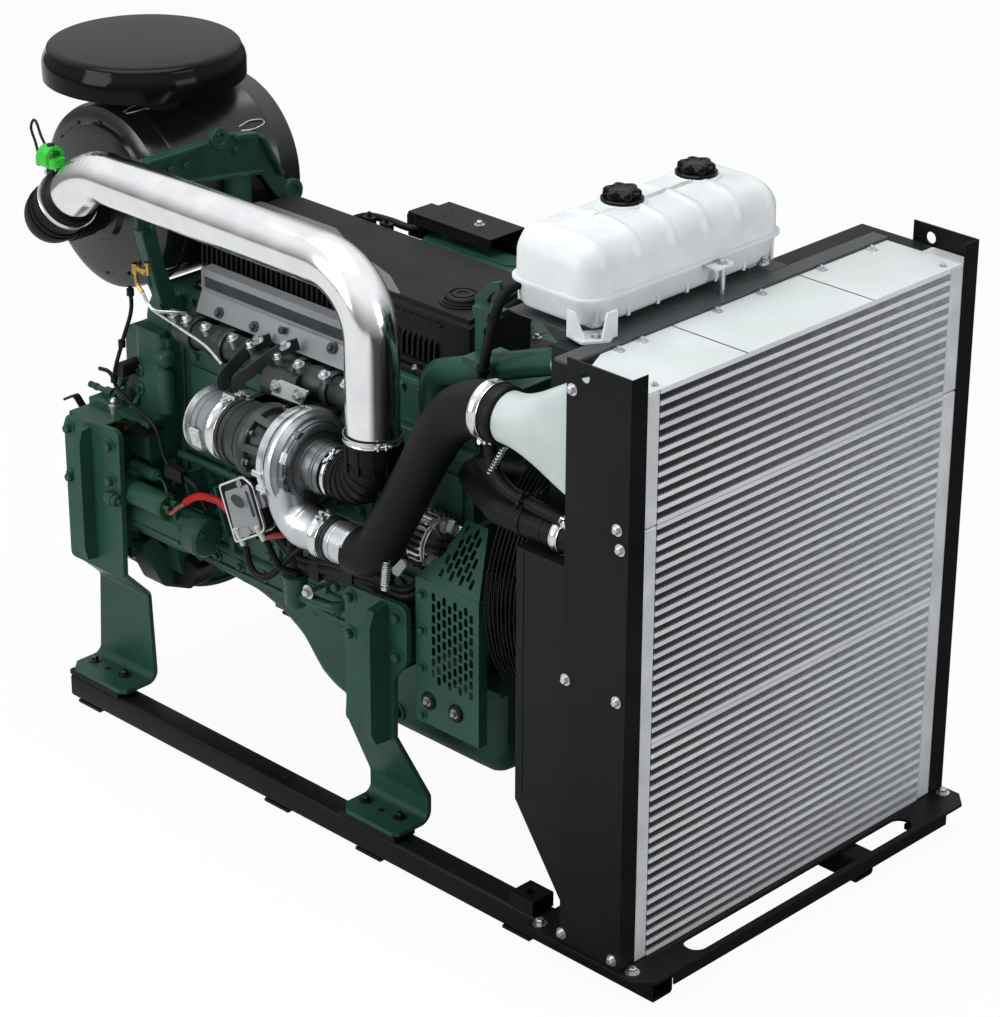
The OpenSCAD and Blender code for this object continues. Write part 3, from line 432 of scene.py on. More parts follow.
def slab(outline, low, high, axis="z", holes=()):
    """An outline with holes, made solid between two places on an axis. The outline is in
    (x, y) for z, (x, z) for y and (y, z) for x."""
    loops = [np.asarray(outline, float)] + [np.asarray(h, float) for h in holes]
    flat = np.vstack(loops)
    tris = tessellate_polygon([[(a, b, 0) for a, b in loop] for loop in loops])
    tris = np.array(tris)
    count = len(flat)
    columns = {"z": (0, 1, 2), "y": (0, 2, 1), "x": (1, 2, 0)}[axis]
    points = np.zeros((2 * count, 3))
    for k, level in enumerate((low, high)):
        points[k * count:(k + 1) * count, columns[0]] = flat[:, 0]
        points[k * count:(k + 1) * count, columns[1]] = flat[:, 1]
        points[k * count:(k + 1) * count, columns[2]] = level
    a, b, c = (flat[tris[:, k]] for k in range(3))
    clockwise = ((b - a)[:, 0] * (c - a)[:, 1] - (b - a)[:, 1] * (c - a)[:, 0]) < 0
    tris[clockwise] = tris[clockwise][:, ::-1]
    walls, start = [], 0
    for k, loop in enumerate(loops):
        i = start + np.arange(len(loop))
        j = start + (np.arange(len(loop)) + 1) % len(loop)
        area = (loop[:, 0] * np.roll(loop[:, 1], -1) - np.roll(loop[:, 0], -1) * loop[:, 1]).sum()
        quads = np.stack([i, j, j + count, i + count], 1)
        walls.append(quads if (area > 0) == (k == 0) else quads[:, ::-1])
        start += len(loop)
    return outward((points, [tris[:, ::-1], tris + count, np.vstack(walls)]))


def block(x0, x1, y0, y1, z0, z1):
    return slab(rect(x0, x1, y0, y1), z0, z1)


def soft(outline, r, steps=4):
    """An outline whose corners are cut back by r and turned by a parabola through each."""
    p = np.array(outline, float)

    def cut(edge):
        length = np.linalg.norm(edge, axis=1, keepdims=True)
        return p + edge * np.minimum(r / length, 0.48)

    a, b = cut(np.roll(p, 1, 0) - p), cut(np.roll(p, -1, 0) - p)
    t = np.linspace(0, 1, steps + 1)[None, :, None]
    curve = (1 - t) ** 2 * a[:, None] + 2 * t * (1 - t) * p[:, None] + t ** 2 * b[:, None]
    return curve.reshape(-1, 2)


def turned(part, pivot, axis, angle):
    """A part turned about an axis through a point, by the right-hand rule."""
    spin = np.array(Matrix.Rotation(math.radians(angle), 3, Vector(axis)))
    pivot = np.asarray(pivot, float)
    return (part[0] - pivot) @ spin.T + pivot, part[1]


def spun(part, at, angle):
    """A part turned about the length of the engine, through a point."""
    return turned(part, at, (1, 0, 0), angle)


def spoke(a, axis):
    """Unit vectors outwards and sideways at an angle round the y or the z axis."""
    missing = {"y": 1, "z": 2}[axis]
    return (np.insert([math.cos(a), math.sin(a)], missing, 0.0), np.insert([-math.sin(a), math.cos(a)],
        missing, 0.0))


def ring_of(count, x, r, z, half_step=0.0):
    """Places evenly round a circle about the length of the engine, from its top."""
    angles = 2 * np.pi * (np.arange(count) + half_step) / count
    return [(x, r * math.sin(a), z + r * math.cos(a)) for a in angles]


def strap(path, left, right, thick):
    """A bent plate: a rectangle between two X limits, which may change along the path,
    carried along a path in Y and Z."""
    path = np.asarray(path, float)
    d = np.gradient(path, axis=0)
    normal = np.stack([-d[:, 1], d[:, 0]], 1)
    normal = normal / np.linalg.norm(normal, axis=1)[:, None] * thick / 2
    rings = []
    for (y, z), (ny, nz), x0, x1 in zip(path, normal, left, right):
        rings.append([(x0, y - ny, z - nz), (x1, y - ny, z - nz), (x1, y + ny, z + nz),
            (x0, y + ny, z + nz)])
    return skin(np.array(rings))


BOLT_AXIS = {"-y": (0, -1, 0), "+y": (0, 1, 0), "+z": (0, 0, 1), "-x": (-1, 0, 0), "+x": (1, 0, 0),
    "-z": (0, 0, -1)}


def bolt(at, facing, size=13.0, washer=True, height=None):
    """A hexagon head on a washer; size is its width across flats."""
    along = np.array(BOLT_AXIS[facing] if isinstance(facing, str) else unit(facing), float)
    r, h = size / math.sqrt(3), height or 0.65 * size
    foot = 0.14 * size if washer else 0
    head = lathe([(foot - 1, r), (foot + 0.8 * h, r), (foot + h, 0.8 * r)], at, along, 6)
    if not washer:
        return head
    return joined(rod(at, along, 0.95 * size, -1, foot, 16), head)


def bolts(places, facing, size=13.0, washer=True, height=None):
    return joined(*[bolt(p, facing, size, washer, height) for p in places])


def stud(at, facing, r, length, sides=16):
    """A round pin with an eased end, standing out of a surface."""
    along = np.array(BOLT_AXIS[facing] if isinstance(facing, str) else unit(facing), float)
    return lathe([(-1, r), (length - 0.2 * r, r), (length, 0.8 * r)], at, along, sides)


def clamp(at, along, r, width=14.0, screw=(0, -1, 0), spring=0.0):
    """A band round a hose with rolled edges, and its T-bolt between two folded ears on
    the side that screw points to. spring is the length of a coil spring on the T-bolt."""
    along = unit(along)
    out = unit(np.asarray(screw, float) - along * (np.asarray(screw, float) @ along))
    tangent = np.cross(along, out)
    half, at = width / 2, np.asarray(at, float)
    ring = lathe([(-half, r), (-half, r + 2.4), (-half + 1.5, r + 2.6), (-half + 3, r + 1.4),
        (half - 3, r + 1.4), (half - 1.5, r + 2.6), (half, r + 2.4), (half, r)], at, along, 56, loop=True)
    parts = [ring]
    for s in (-1, 1):
        ear = at + out * (r + 5) + tangent * 9 * s
        parts.append(rod(ear, along, 4.4, -half + 1, half - 1, 12))
    start = at + out * (r + 6)
    parts.append(rod(start, tangent, 2.4, -17, 20 + spring, 12))
    parts.append(rod(start, tangent, 5.5, -20, -14, 6))
    parts.append(rod(start, tangent, 5.0, 15 + spring, 20 + spring, 6))
    if spring:
        t = np.linspace(0, 1, 60)
        u, v = sides_of(tangent)
        turn = 2 * np.pi * 7 * t
        coil = (start + tangent * (15 + spring * t)[:, None] + u * (5 * np.cos(turn))[:, None]
            + v * (5 * np.sin(turn))[:, None])
        parts.append(tube(coil, 1.1, 6))
    return joined(*parts)


# ---- Pieces ----

def to_frame(points):
    return points * MM + ORIGIN


def new_piece(name, material, mesh, body, replaces, bevel, segments, smooth, subdivide):
    """Links a mesh with its material, modifiers, body and replaced nodes."""
    obj = bpy.data.objects.new(name, mesh)
    bpy.context.scene.collection.objects.link(obj)
    mesh.materials.clear()
    mesh.materials.append(material)
    mesh.shade_smooth()
    mesh.set_sharp_from_angle(angle=math.radians(smooth))
    if subdivide:
        levels = obj.modifiers.new("subdivide", "SUBSURF")
        levels.levels = levels.render_levels = subdivide
    if bevel:
        ease = obj.modifiers.new("bevel", "BEVEL")
        ease.width = bevel * MM
        ease.segments = segments
        ease.limit_method = "ANGLE"
        ease.angle_limit = math.radians(35)
        ease.harden_normals = True
    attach(obj, body)
    if replaces:
        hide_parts(*replaces)
    return obj


def piece(name, material, parts, replaces=(), body="engine", bevel=0.0, segments=2, smooth=35,
        subdivide=0):
    """One object from parts in engine millimetres, riding on a body."""
    points, faces = joined(*parts) if isinstance(parts, list) else parts
    mesh = bpy.data.meshes.new(name)
    counts = np.concatenate([np.full(len(f), f.shape[1]) for f in faces])
    loops = np.concatenate([f.ravel() for f in faces])
    mesh.vertices.add(len(points))
    mesh.vertices.foreach_set("co", to_frame(points).astype(np.float32).ravel())
    mesh.loops.add(len(loops))
    mesh.loops.foreach_set("vertex_index", loops.astype(np.int32))
    mesh.polygons.add(len(counts))
    mesh.polygons.foreach_set("loop_start", (np.cumsum(counts) - counts).astype(np.int32))
    mesh.update(calc_edges=True)
    mesh.validate()
    return new_piece(name, material, mesh, body, replaces, bevel, segments, smooth, subdivide)


def refined(node, material, bevel=2.0, segments=2, smooth=35, body="engine", name=None, corners=1000):
    """A copy of a CAD node with its loose triangles merged, and its edges eased. A merged
    face with more than this many corners is cut into triangles again."""
    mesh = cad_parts[node].data.copy()
    work = bmesh.new()
    work.from_mesh(mesh)
    bmesh.ops.remove_doubles(work, verts=work.verts, dist=0.02 * MM)
    bmesh.ops.dissolve_limit(work, angle_limit=math.radians(1), verts=work.verts, edges=work.edges)
    many = [face for face in work.faces if len(face.verts) > corners]
    bmesh.ops.triangulate(work, faces=many, ngon_method="BEAUTY")
    work.to_mesh(mesh)
    work.free()
    return new_piece(name or node + "_surface", material, mesh, body, (node,), bevel, segments,
        smooth, 0)


# ---- Floor, world and lamps ----

def make_floor():
    """A pale floor. To the camera it is mostly white, and keeps part of the shade. In
    reflections it is bright on the near left and dark under the radiator, like a studio
    with a white card on one side."""
    size = 12.0
    mesh = bpy.data.meshes.new("floor")
    mesh.from_pydata([(-size, -size, 0), (size, -size, 0), (size, size, 0), (-size, size, 0)], [],
        [(0, 1, 2, 3)])
    floor = bpy.data.objects.new("floor", mesh)
    bpy.context.scene.collection.objects.link(floor)
    material = bpy.data.materials.new("pale_floor")
    material.use_nodes = True
    tree = material.node_tree
    tree.nodes.clear()
    seen = add(tree, "LightPath")
    lit = add(tree, "BsdfDiffuse", {"Color": linear("#f2f2f2")})
    spot = add(tree, "NewGeometry").outputs["Position"]
    left = add(tree, "VectorMath", {1: (-0.714, -0.7, 0)}, {0: spot}, operation="DOT_PRODUCT")
    mirrored_light = add(tree, "MapRange", {"From Min": -0.3, "From Max": 0.9, "To Min": 0.06,
        "To Max": 0.9}, {"Value": left.outputs["Value"]})
    mirrored_glow = add(tree, "Emission", {"Color": (1, 1, 1, 1)},
        {"Strength": mirrored_light.outputs["Result"]})
    lit = add(tree, "MixShader", None, {0: seen.outputs["Is Glossy Ray"], 1: lit.outputs[0],
        2: mirrored_glow.outputs[0]})
    glow = add(tree, "Emission", {"Color": (1, 1, 1, 1), "Strength": 1.0})
    direct = add(tree, "Math", None, {0: seen.outputs["Is Camera Ray"],
        1: seen.outputs["Is Transmission Ray"]}, operation="MAXIMUM")
    share = add(tree, "Math", {1: 0.95}, {0: direct.outputs[0]}, operation="MULTIPLY")
    blend = add(tree, "MixShader", None, {0: share.outputs[0], 1: lit.outputs[0], 2: glow.outputs[0]})
    add(tree, "OutputMaterial", None, {"Surface": blend.outputs[0]})
    mesh.materials.append(material)


def make_world():
    """White to the camera, a plain soft grey as a light, and in reflections a sky that
    brightens from the horizon up."""
    world = bpy.data.worlds.new("studio")
    world.use_nodes = True
    bpy.context.scene.world = world
    tree = world.node_tree
    tree.nodes.clear()
    seen = add(tree, "LightPath")
    direct = add(tree, "Math", None, {0: seen.outputs["Is Camera Ray"],
        1: seen.outputs["Is Transmission Ray"]}, operation="MAXIMUM")
    ray = add(tree, "SeparateXYZ", None, {0: add(tree, "TexCoord").outputs["Generated"]})
    sky = add(tree, "MapRange", {"From Min": -0.1, "From Max": 0.55, "To Min": 0.15, "To Max": 1.05},
        {"Value": ray.outputs["Z"]})
    mirror = add(tree, "Mix", {2: 0.42}, {0: seen.outputs["Is Glossy Ray"], 3: sky.outputs["Result"]})
    shown = add(tree, "Mix", {3: 1.0}, {0: direct.outputs[0], 2: mirror.outputs[0]})
    glow = add(tree, "Background", {"Color": (1, 1, 1, 1)}, {"Strength": shown.outputs[0]})
    add(tree, "OutputWorld", None, {"Surface": glow.outputs[0]})


def softbox(name, at, aim, size, power):
    """A square area lamp at a point in metres, facing another."""
    data = bpy.data.lights.new(name, "AREA")
    data.size = size
    data.energy = power
    lamp = bpy.data.objects.new(name, data)
    bpy.context.scene.collection.objects.link(lamp)
    at, aim = Vector(at), Vector(aim)
    lamp.matrix_world = (Matrix.Translation(at) @ (at - aim).to_track_quat("Z", "Y").to_matrix().to_4x4())


make_floor()
make_world()
softbox("lamp_above", (-0.4, -0.6, 4.6), (0, 0, 0.9), 3.0, 118)
softbox("lamp_near_side", (-1.2, -4.6, 2.6), (0, 0, 0.8), 2.4, 110)
softbox("lamp_front", (4.8, 0.4, 2.4), (0.6, 0, 0.8), 2.4, 72)
bpy.context.scene.view_settings.view_transform = "Standard"


# ---- Rails and base ----

def rails():
    """Square tubes with open ends, on welded plates."""
    wall, corner = 5, 9
    for side in ("left", "right"):
        x0, y0, z0, x1, y1, z1 = extent("rail_" + side)
        hole = rect(y0 + wall, y1 - wall, z0 + wall, z1 - wall, corner - wall)
        piece("rail_tube_" + side, BLACK_COAT, slab(rect(y0, y1, z0, z1, corner), x0, x1, "x", [hole]),
            ["rail_" + side], bevel=0.8)
        plug = lathe([(-2, 8.6), (0.6, 8.6), (1.6, 7)], (-1120, (y0 + y1) / 2, z1), "z", 20)
        piece("rail_plug_" + side, BLACK_NYLON, plug)
    refined("rail_pads", BLACK_COAT, 1.2)
    refined("base_plate", BLACK_COAT, 1.5)
    refined("radiator_mounts", BLACK_COAT, 3.0, 3)
    x0, y0, z0, x1, y1, z1 = extent("base_plate")
    places = [(x, y, z1) for x in (x0 + 22, x1 - 62) for y in (y0 + 26, y1 - 26)]
    places += [(-150, y0 + 26, z1), (-150, y1 - 26, z1)]
    piece("base_plate_bolts", ZINC, bolts(places, "+z", 17))
    tabs = [slab(rect(x1 - 70, x1 - 20, y - 20, y + 20, 6), z0 - 10, z0 + 1) for y in (y0 + 140, y1 - 140)]
    piece("base_tabs", BLACK_COAT, tabs, bevel=1)


# ---- Radiator ----

ROW_PITCH = 25.0
BAR_HEIGHT = 10.0
FIN_PITCH = 8.0


def core_rows(low, high):
    """Heights of the bars of one circuit, from bar to bar an even pitch near ROW_PITCH."""
    rows = max(2, round((high - low - BAR_HEIGHT) / ROW_PITCH))
    return np.linspace(low, high - BAR_HEIGHT, rows + 1)


def fin_row(y0, y1, z0, z1, front, back, thick=0.35):
    """A folded sheet between two bars: z swings from one to the other at each half pitch.
    Its four edges (front and back, upper and lower face) run along y as a closed strip."""
    count = int(round((y1 - y0) / (FIN_PITCH / 2))) + 1
    y = np.linspace(y0, y1, count)
    z = np.where(np.arange(count) % 2 == 0, z0, z1)
    edges = [np.stack([np.full(count, x), y, z + t], 1) for x, t in ((front, thick), (front, -thick),
        (back, -thick), (back, thick))]
    return grid(np.array(edges), wrap_rows=True)


def painted_shade_along_y(material, low, high, dim):
    """Dims a material's colour along y, from dim at low to full at high: painted shade, as folded
    fins are seen more and more into their depth."""
    tree = material.node_tree
    colour = tree.nodes["Principled BSDF"].inputs["Base Color"]
    place = add(tree, "SeparateXYZ", None, {0: add(tree, "TexCoord").outputs["Object"]})
    share = add(tree, "MapRange", {"From Min": low * MM + ORIGIN[1], "To Min": dim,
        "From Max": high * MM + ORIGIN[1]}, {"Value": place.outputs["Y"]})
    dimmed = add(tree, "VectorMath", None, {0: colour.links[0].from_socket,
        "Scale": share.outputs["Result"]}, operation="SCALE")
    tree.links.new(dimmed.outputs["Vector"], colour)


def core(name, node, circuits):
    """Bars, folded fins between them, and behind them a block whose darker colour is painted shade."""
    x0, y0, z0, x1, y1, z1 = extent(node)
    bars, fins = [], []
    for low, high in circuits:
        rows = core_rows(low, high)
        for z in rows:
            bars.append(block(x0, x1 - 0.3, y0, y1, z, z + BAR_HEIGHT))
        for z, above in zip(rows, rows[1:]):
            fins.append(fin_row(y0 + 1, y1 - 1, z + BAR_HEIGHT + 0.5, above - 0.5, x1 - 2, x1 - 12))
    piece(name + "_bars", CORE_BAR, bars, bevel=1.6)
    piece(name + "_fins", FIN_STOCK, fins, smooth=10)
    # The depth block: its darker colour is painted shade.
    piece(name + "_depth", CORE_DEPTH, block(x0 + 2, x1 - 12.5, y0 + 1, y1 - 1, z0 + 1, z1 - 1),
        [node], bevel=0.5)


def radiator():
    """Both cores, their end tanks, and the side plates with their bolts."""
    low, high = near("radiator_core")
    # Painted shade: the fins and the core inside darken towards low y.
    for material in (FIN_STOCK, CORE_DEPTH):
        painted_shade_along_y(material, low[1], high[1], 0.12)
    split = low[2] + 0.507 * (high[2] - low[2])
    core("coolant_core", "radiator_core", [(low[2], split - 1), (split + 1, high[2])])
    low, high = near("charge_air_cooler")
    core("charge_core", "charge_air_cooler", [(low[2], high[2])])
    refined("radiator_end_tanks", END_TANK, 5, 3)
    refined("charge_air_end_tanks", END_TANK, 5, 3)
    refined("side_plate_left", BLACK_COAT, 1.2)
    refined("side_plate_right", BLACK_COAT, 1.2)
    web, _ = near("side_plate_left")
    _, far = near("side_plate_right")
    spots = [(-164, 100), (-18, 98), (-20, 715), (-162, 714), (-27, 1100), (-18, 1059), (-154, 1365)]
    piece("side_plate_bolts_left", ZINC, bolts([(x, web[1], z) for x, z in spots], "-y", 14))
    piece("side_plate_bolts_right", ZINC, bolts([(x, far[1] - 1, z) for x, z in spots], "+y", 14,
        height=3.0))


def covers():
    """The sheet over the cores with its seams, and the channel behind it."""
    refined("top_covers", COVER_COAT, 0.8)
    refined("top_channel", GREY_COAT, 2)
    x0, y0, z0, x1, y1, z1 = extent("top_covers")
    clips = []
    for y in (y0 + 120, y0 + 190, y0 + 420, y0 + 560, y1 - 240, y1 - 70):
        clips.append(slab(rect(x0 + 4, x0 + 26, y - 8, y + 8, 3), z1, z1 + 3))
        clips.append(bolt((x0 + 15, y, z1 + 3), "+z", 9))
    clips += [bolt((x1 - 20, y, z1), "+z", 9) for y in (y0 + 40, y1 - 40)]
    piece("cover_clips", ZINC, clips, bevel=0.5)
    seals = [block(x0, x1 - 1, y - 1.7, y + 1.7, z0, z1 + 0.3) for y in (y0 + 295, y0 + 699)]
    piece("cover_seals", RUBBER, seals)


# ---- Expansion tank ----

def expansion_tank():
    """Rounded rectangles stacked from the foot over the seam and the shoulder to the middle
    of the top. Six bands run up the sides and over the top: each point near a band's
    place along y moves out by a raised-cosine height."""
    x0, y0, z0, x1, y1, z1 = extent("expansion_tank")
    foot, seam, top = z0 + 12, z0 + 74, z1 - 6
    stack = [(34, foot), (24, foot + 1.5), (18, foot + 6), (14, foot + 14), (7, seam - 6),
        (6, seam - 3), (0, seam - 2), (0, seam + 4), (6, seam + 5), (7, seam + 12)]
    t = np.linspace(0, np.pi / 2, 12)[1:]
    shoulder = 64
    stack += [(7 + 50 * (1 - math.cos(a)), top - 8 - shoulder + shoulder * math.sin(a)) for a in t]
    stack += [(57 + k * 16, top - 8 + 8 * math.sin(k / 4 * math.pi / 2)) for k in (1, 2, 3, 4)]
    length, count = y1 - y0, 90
    bands = [y0 + length * (k + 0.5) / 6 for k in range(6)]
    rings = []
    for inset, z in stack:
        r = max(6.0, 52 - 0.35 * inset)
        w, reach = (x1 - x0) / 2 - inset, length / 2 - inset
        r = min(r, w - 0.5)
        straight = np.linspace(r - reach, reach - r, count)
        corner = np.linspace(0, np.pi / 2, 9)
        side = [np.stack([np.full(count, w), straight], 1)]
        side += [np.stack([w - r + r * np.cos(corner), reach - r + r * np.sin(corner)], 1)[1:]]
        half = np.vstack(side)
        other = half[::-1] * (-1, 1)
        loop = np.vstack([half, other[:-count], -half, (half[::-1] * (1, -1))[:-count]])
        ring = np.column_stack([loop[:, 0] + (x0 + x1) / 2, loop[:, 1] + (y0 + y1) / 2,
            np.full(len(loop), z)])
        if z > seam + 8:
            rise = np.zeros(len(ring))
            for b in bands:
                near_band = np.clip(np.abs(ring[:, 1] - b) / 16, 0, 1)
                rise += 0.5 + 0.5 * np.cos(np.pi * near_band)
            share = np.clip((z - seam - 8) / 12, 0, 1)
            out = np.column_stack([np.sign(loop[:, 0]) * (np.abs(loop[:, 0]) > w - r - 1),
                np.zeros(len(loop)), np.zeros(len(loop))])
            flat = np.clip((inset - 7) / 50, 0, 1)
            ring += out * (rise * 5 * share * (1 - flat))[:, None]
            ring[:, 2] += rise * 5 * share * flat
        rings.append(ring)
    body = skin(np.array(rings))
    low_ribs = [block(x0 + 12, x1 - 12, y - 4, y + 4, foot + 4, seam - 4) for y in np.linspace(y0 + 40,
        y1 - 40, 7)]
    feet = [slab(rect(x - 20, x + 20, y - 16, y + 16, 5), z0, foot + 8) for x in (x0 + 60, x1 - 60)
        for y in (y0 + 70, y1 - 70)]
    lugs = [slab(rect(x1 - 14, x1 - 2, y - 12, y + 12, 4), foot + 2, foot + 10) for y in (y0 + 70,
        y1 - 70)]
    lugs += [slab(soft([(x1 - 46, y0 + 10), (x1 - 50, y0 - 14), (x1 + 2, y0 - 26), (x1 + 34, y0 + 24),
        (x1 + 20, y0 + 52), (x1 - 10, y0 + 60)], 5), z0, z0 + 6),
        slab([(x1 - 48, z0 + 60), (x1 - 48, z0 + 2), (x1 + 4, z0 + 2), (x1 - 30, z0 + 60)], y0 - 18,
        y0 - 13, "y"), slab([(y0 + 56, z0 + 60), (y0 + 56, z0 + 2), (y0 + 10, z0 + 2),
        (y0 + 26, z0 + 60)], x1 + 20, x1 + 25, "x")]
    cap_low, cap_high = near("expansion_tank_caps")
    cap_x = (cap_low[0] + cap_high[0]) / 2
    cap_y = (cap_low[1] + 37, cap_high[1] - 37)
    necks = [lathe([(top - 6, 54), (top + 1, 54), (top + 3, 44), (cap_low[2] - 1, 42),
        (cap_low[2] - 1, 36)], (cap_x, y, 0), "z", 40) for y in cap_y]
    piece("tank_shell", TANK_PLASTIC, [body], ["expansion_tank"], smooth=50)
    lugs.append(slab(soft(rect(x1 - 10, x1 + 30, 96, 158), 10), z0 + 62, z0 + 68))
    piece("tank_feet", TANK_PLASTIC, feet + lugs + low_ribs + necks, bevel=2)
    piece("tank_bolts", ZINC, [bolt((x1 - 8, y1 - 70, foot + 10), "+z", 13),
        bolt((x1 + 6, y0 + 14, z0 + 6), "+z", 13), stud((x1 + 16, 133, z0), "+z", 7, 62),
        bolt((x1 + 16, 133, z0 + 68), "+z", 13)])
    caps = []

    def grip(t):
        return 1 + 0.13 * np.cos(6 * t)

    for y in cap_y:
        z = cap_low[2]
        caps.append(lathe([(z - 5, 38), (z - 4, 46), (z + 2, 46), (z + 4, 43)], (cap_x, y, 0), "z", 48))
        caps.append(lathe([(z + 2, 36), (z + 5, 37.5), (z + 18, 36.5), (z + 22, 32), (z + 22.6, 27),
            (z + 20.5, 24), (z + 20.5, 8)], (cap_x, y, 0), "z", 72, lobes=grip))
    piece("tank_caps", CAP_GLOSS, caps, ["expansion_tank_caps"], smooth=40)
    refined("tank_bracket", GREY_COAT, 1.0)


# ---- Shroud, guard and fan ----

def shroud():
    """The moulded shroud with a bead down its near side, and its bolts."""
    refined("fan_shroud", BLACK_NYLON, 1.4)
    x0, y0, z0, x1, y1, z1 = extent("fan_shroud")
    bead = [block(x1 - 30, x1 - 26, y0 - 1.2, y0 + 1, z0 + 60, 962), block(x0 + 18, x0 + 22, y0 - 1.2,
        y0 + 1, 385, 962)]
    piece("shroud_beads", BLACK_NYLON, bead, bevel=0.8)
    places = [(x0, y, z) for y in (y0 + 40, y1 - 40) for z in (420, 660, 900)]
    places += [(x0, y, z1 - 22) for y in (-250, 0, 250, 500)]
    piece("shroud_bolts", ZINC, bolts(places, "-x", 10))


def wire_ring(x, y, z, r, wire, sides=96):
    """A torus: a wire circle of radius r about the fan shaft."""
    t = np.linspace(0, 2 * np.pi, 9)[:-1]
    return lathe(np.stack([wire * np.cos(t), r + wire * np.sin(t)], 1), (x, y, z), "x", sides, loop=True)


def fan_guard():
    """Wire rings round the drum and over the face, held by spokes that turn the corner."""
    x0, y0, z0, x1, y1, z1 = extent("fan_guard")
    y, z, r, wire = (y0 + y1) / 2, (z0 + z1) / 2, (y1 - y0) / 2, 2.2
    hub = 125
    parts = [wire_ring(x, y, z, r - wire, wire) for x in np.arange(x0 + 14, x1 - 4, 12.0)]
    parts += [wire_ring(x0 + wire, y, z, k, wire) for k in np.arange(hub, r - 8, 13.5)]
    for k in range(16):
        a = 2 * np.pi * (k + 0.5) / 16
        out = np.array([0, math.cos(a), math.sin(a)])
        centre = np.array([0, y, z])
        path = arc_path([centre + out * (hub - 4) + (x0 + 3.4 * wire - 3, 0, 0),
            centre + out * (r - 3.2 * wire) + (x0 + 3.4 * wire - 3, 0, 0),
            centre + out * (r - 3.2 * wire) + (x1 + 2, 0, 0)], 10, 4)
        parts.append(tube(path, wire, 6))
    piece("guard_wires", BLACK_COAT, parts, ["fan_guard"], smooth=60)


def fan():
    """Moulded blades on a ribbed hub. A blade is a grid of radius and chord: its pitch falls
    from root to tip, and its section bows by a parabola."""
    x0, y0, z0, x1, y1, z1 = extent("fan")
    centre = np.array([(x0 + x1) / 2, 0, (z0 + z1) / 2])
    r1 = (z1 - z0) / 2 - 1
    blades, count = [], 9
    radius = np.linspace(78, r1, 14)
    chord = np.linspace(-1, 1, 13)
    for k in range(count):
        share = (radius - 78) / (r1 - 78)
        pitch = np.radians(42 - 16 * share)
        half = 52 + 12 * np.sin(share * np.pi * 0.8)
        along = half[:, None] * chord
        bow = 9 * (1 - chord ** 2)[None, :] * np.ones_like(along)
        x = along * np.sin(pitch)[:, None] * 0.78 + bow
        turn = along * np.cos(pitch)[:, None] / radius[:, None] + 2 * np.pi * k / count
        turn = turn + (0.10 * share ** 2)[:, None]
        mid = np.stack([x, radius[:, None] * np.sin(turn), radius[:, None] * np.cos(turn)], -1)
        thick = (2.4 * np.sqrt(np.clip(1 - chord ** 2, 0.02, 1)))[None, :, None]
        face = np.stack([np.ones_like(x), 0.35 * np.cos(turn), -0.35 * np.sin(turn)], -1)
        ring = np.concatenate([mid + face * thick, (mid - face * thick)[:, ::-1]], 1)
        blades.append(skin(ring + centre))
    piece("fan_blades", BLACK_NYLON, blades, ["fan"], body="fan", smooth=50)
    hub = [lathe([(x0 - centre[0], 40), (x0 - centre[0], 80), (x0 - centre[0] + 5, 85),
        (x1 - centre[0] - 5, 85), (x1 - centre[0], 80), (x1 - centre[0], 30),
        (x1 - centre[0] - 14, 28)], centre, "x", 48)]
    hub.append(lathe([(x1 - centre[0] - 4, 44), (x1 - centre[0] - 0.5, 42)], centre, "x", 48))
    piece("fan_hub", BLACK_NYLON, hub, body="fan", bevel=1)
    spots = ring_of(6, x1 - 6, 60, centre[2])
    piece("fan_hub_bolts", ZINC, bolts(spots, "+x", 11, height=4), body="fan")


def grooved(r, x0, x1, at, grooves=8, depth=4.0):
    """A pulley rim with V grooves between two flanges."""
    inner = np.linspace(x0 + 4, x1 - 4, 2 * grooves + 1)
    profile = [(x0, r * 0.4), (x0, r), (x0 + 2, r)]
    profile += [(x, r - (1 if k % 2 == 0 else depth)) for k, x in enumerate(inner)]
    profile += [(x1 - 2, r), (x1, r), (x1, r * 0.82), (x1 - 10, r * 0.78), (x1 - 10, r * 0.4),
        (x1 - 2, r * 0.36), (x1 - 2, r * 0.1)]
    return lathe(profile, at, "x", 56)


def belt_drive():
    """The pulleys of the fan and the crankshaft, and the belt round them."""
    for node, name in (("fan_drive", "fan_pulley"), ("crank_pulley", "crank_pulley_rim")):
        x0, y0, z0, x1, y1, z1 = extent(node)
        r = (z1 - z0) / 2
        z = (z0 + z1) / 2
        belt_low, belt_high = near("drive_belt")
        rim = grooved(r, belt_low[0] - 4, belt_high[0] + 4, (0, 0, z))
        if node == "fan_drive":
            parts = [rim, lathe([(x0, 50), (x0, 58), (-596, 58), (-594, 50), (-520, 44), (-428, 40),
                (-427, 36)], (0, 0, z), "x", 40), lathe([(-428, 20), (x1 - 3, 20), (x1, 17)],
                (0, 0, z), "x", 32)]
        else:
            parts = [rim, rod((0, 0, z), "x", 45, x0, belt_low[0], 32)]
            spots = ring_of(6, belt_high[0] + 2, 28, z)
            piece("crank_pulley_bolts", ZINC, bolts(spots, "+x", 12))
        piece(name, BLACK_COAT, parts, [node], bevel=0.6)
    refined("drive_belt", BELT, 0.8)


# ---- Charge air path ----

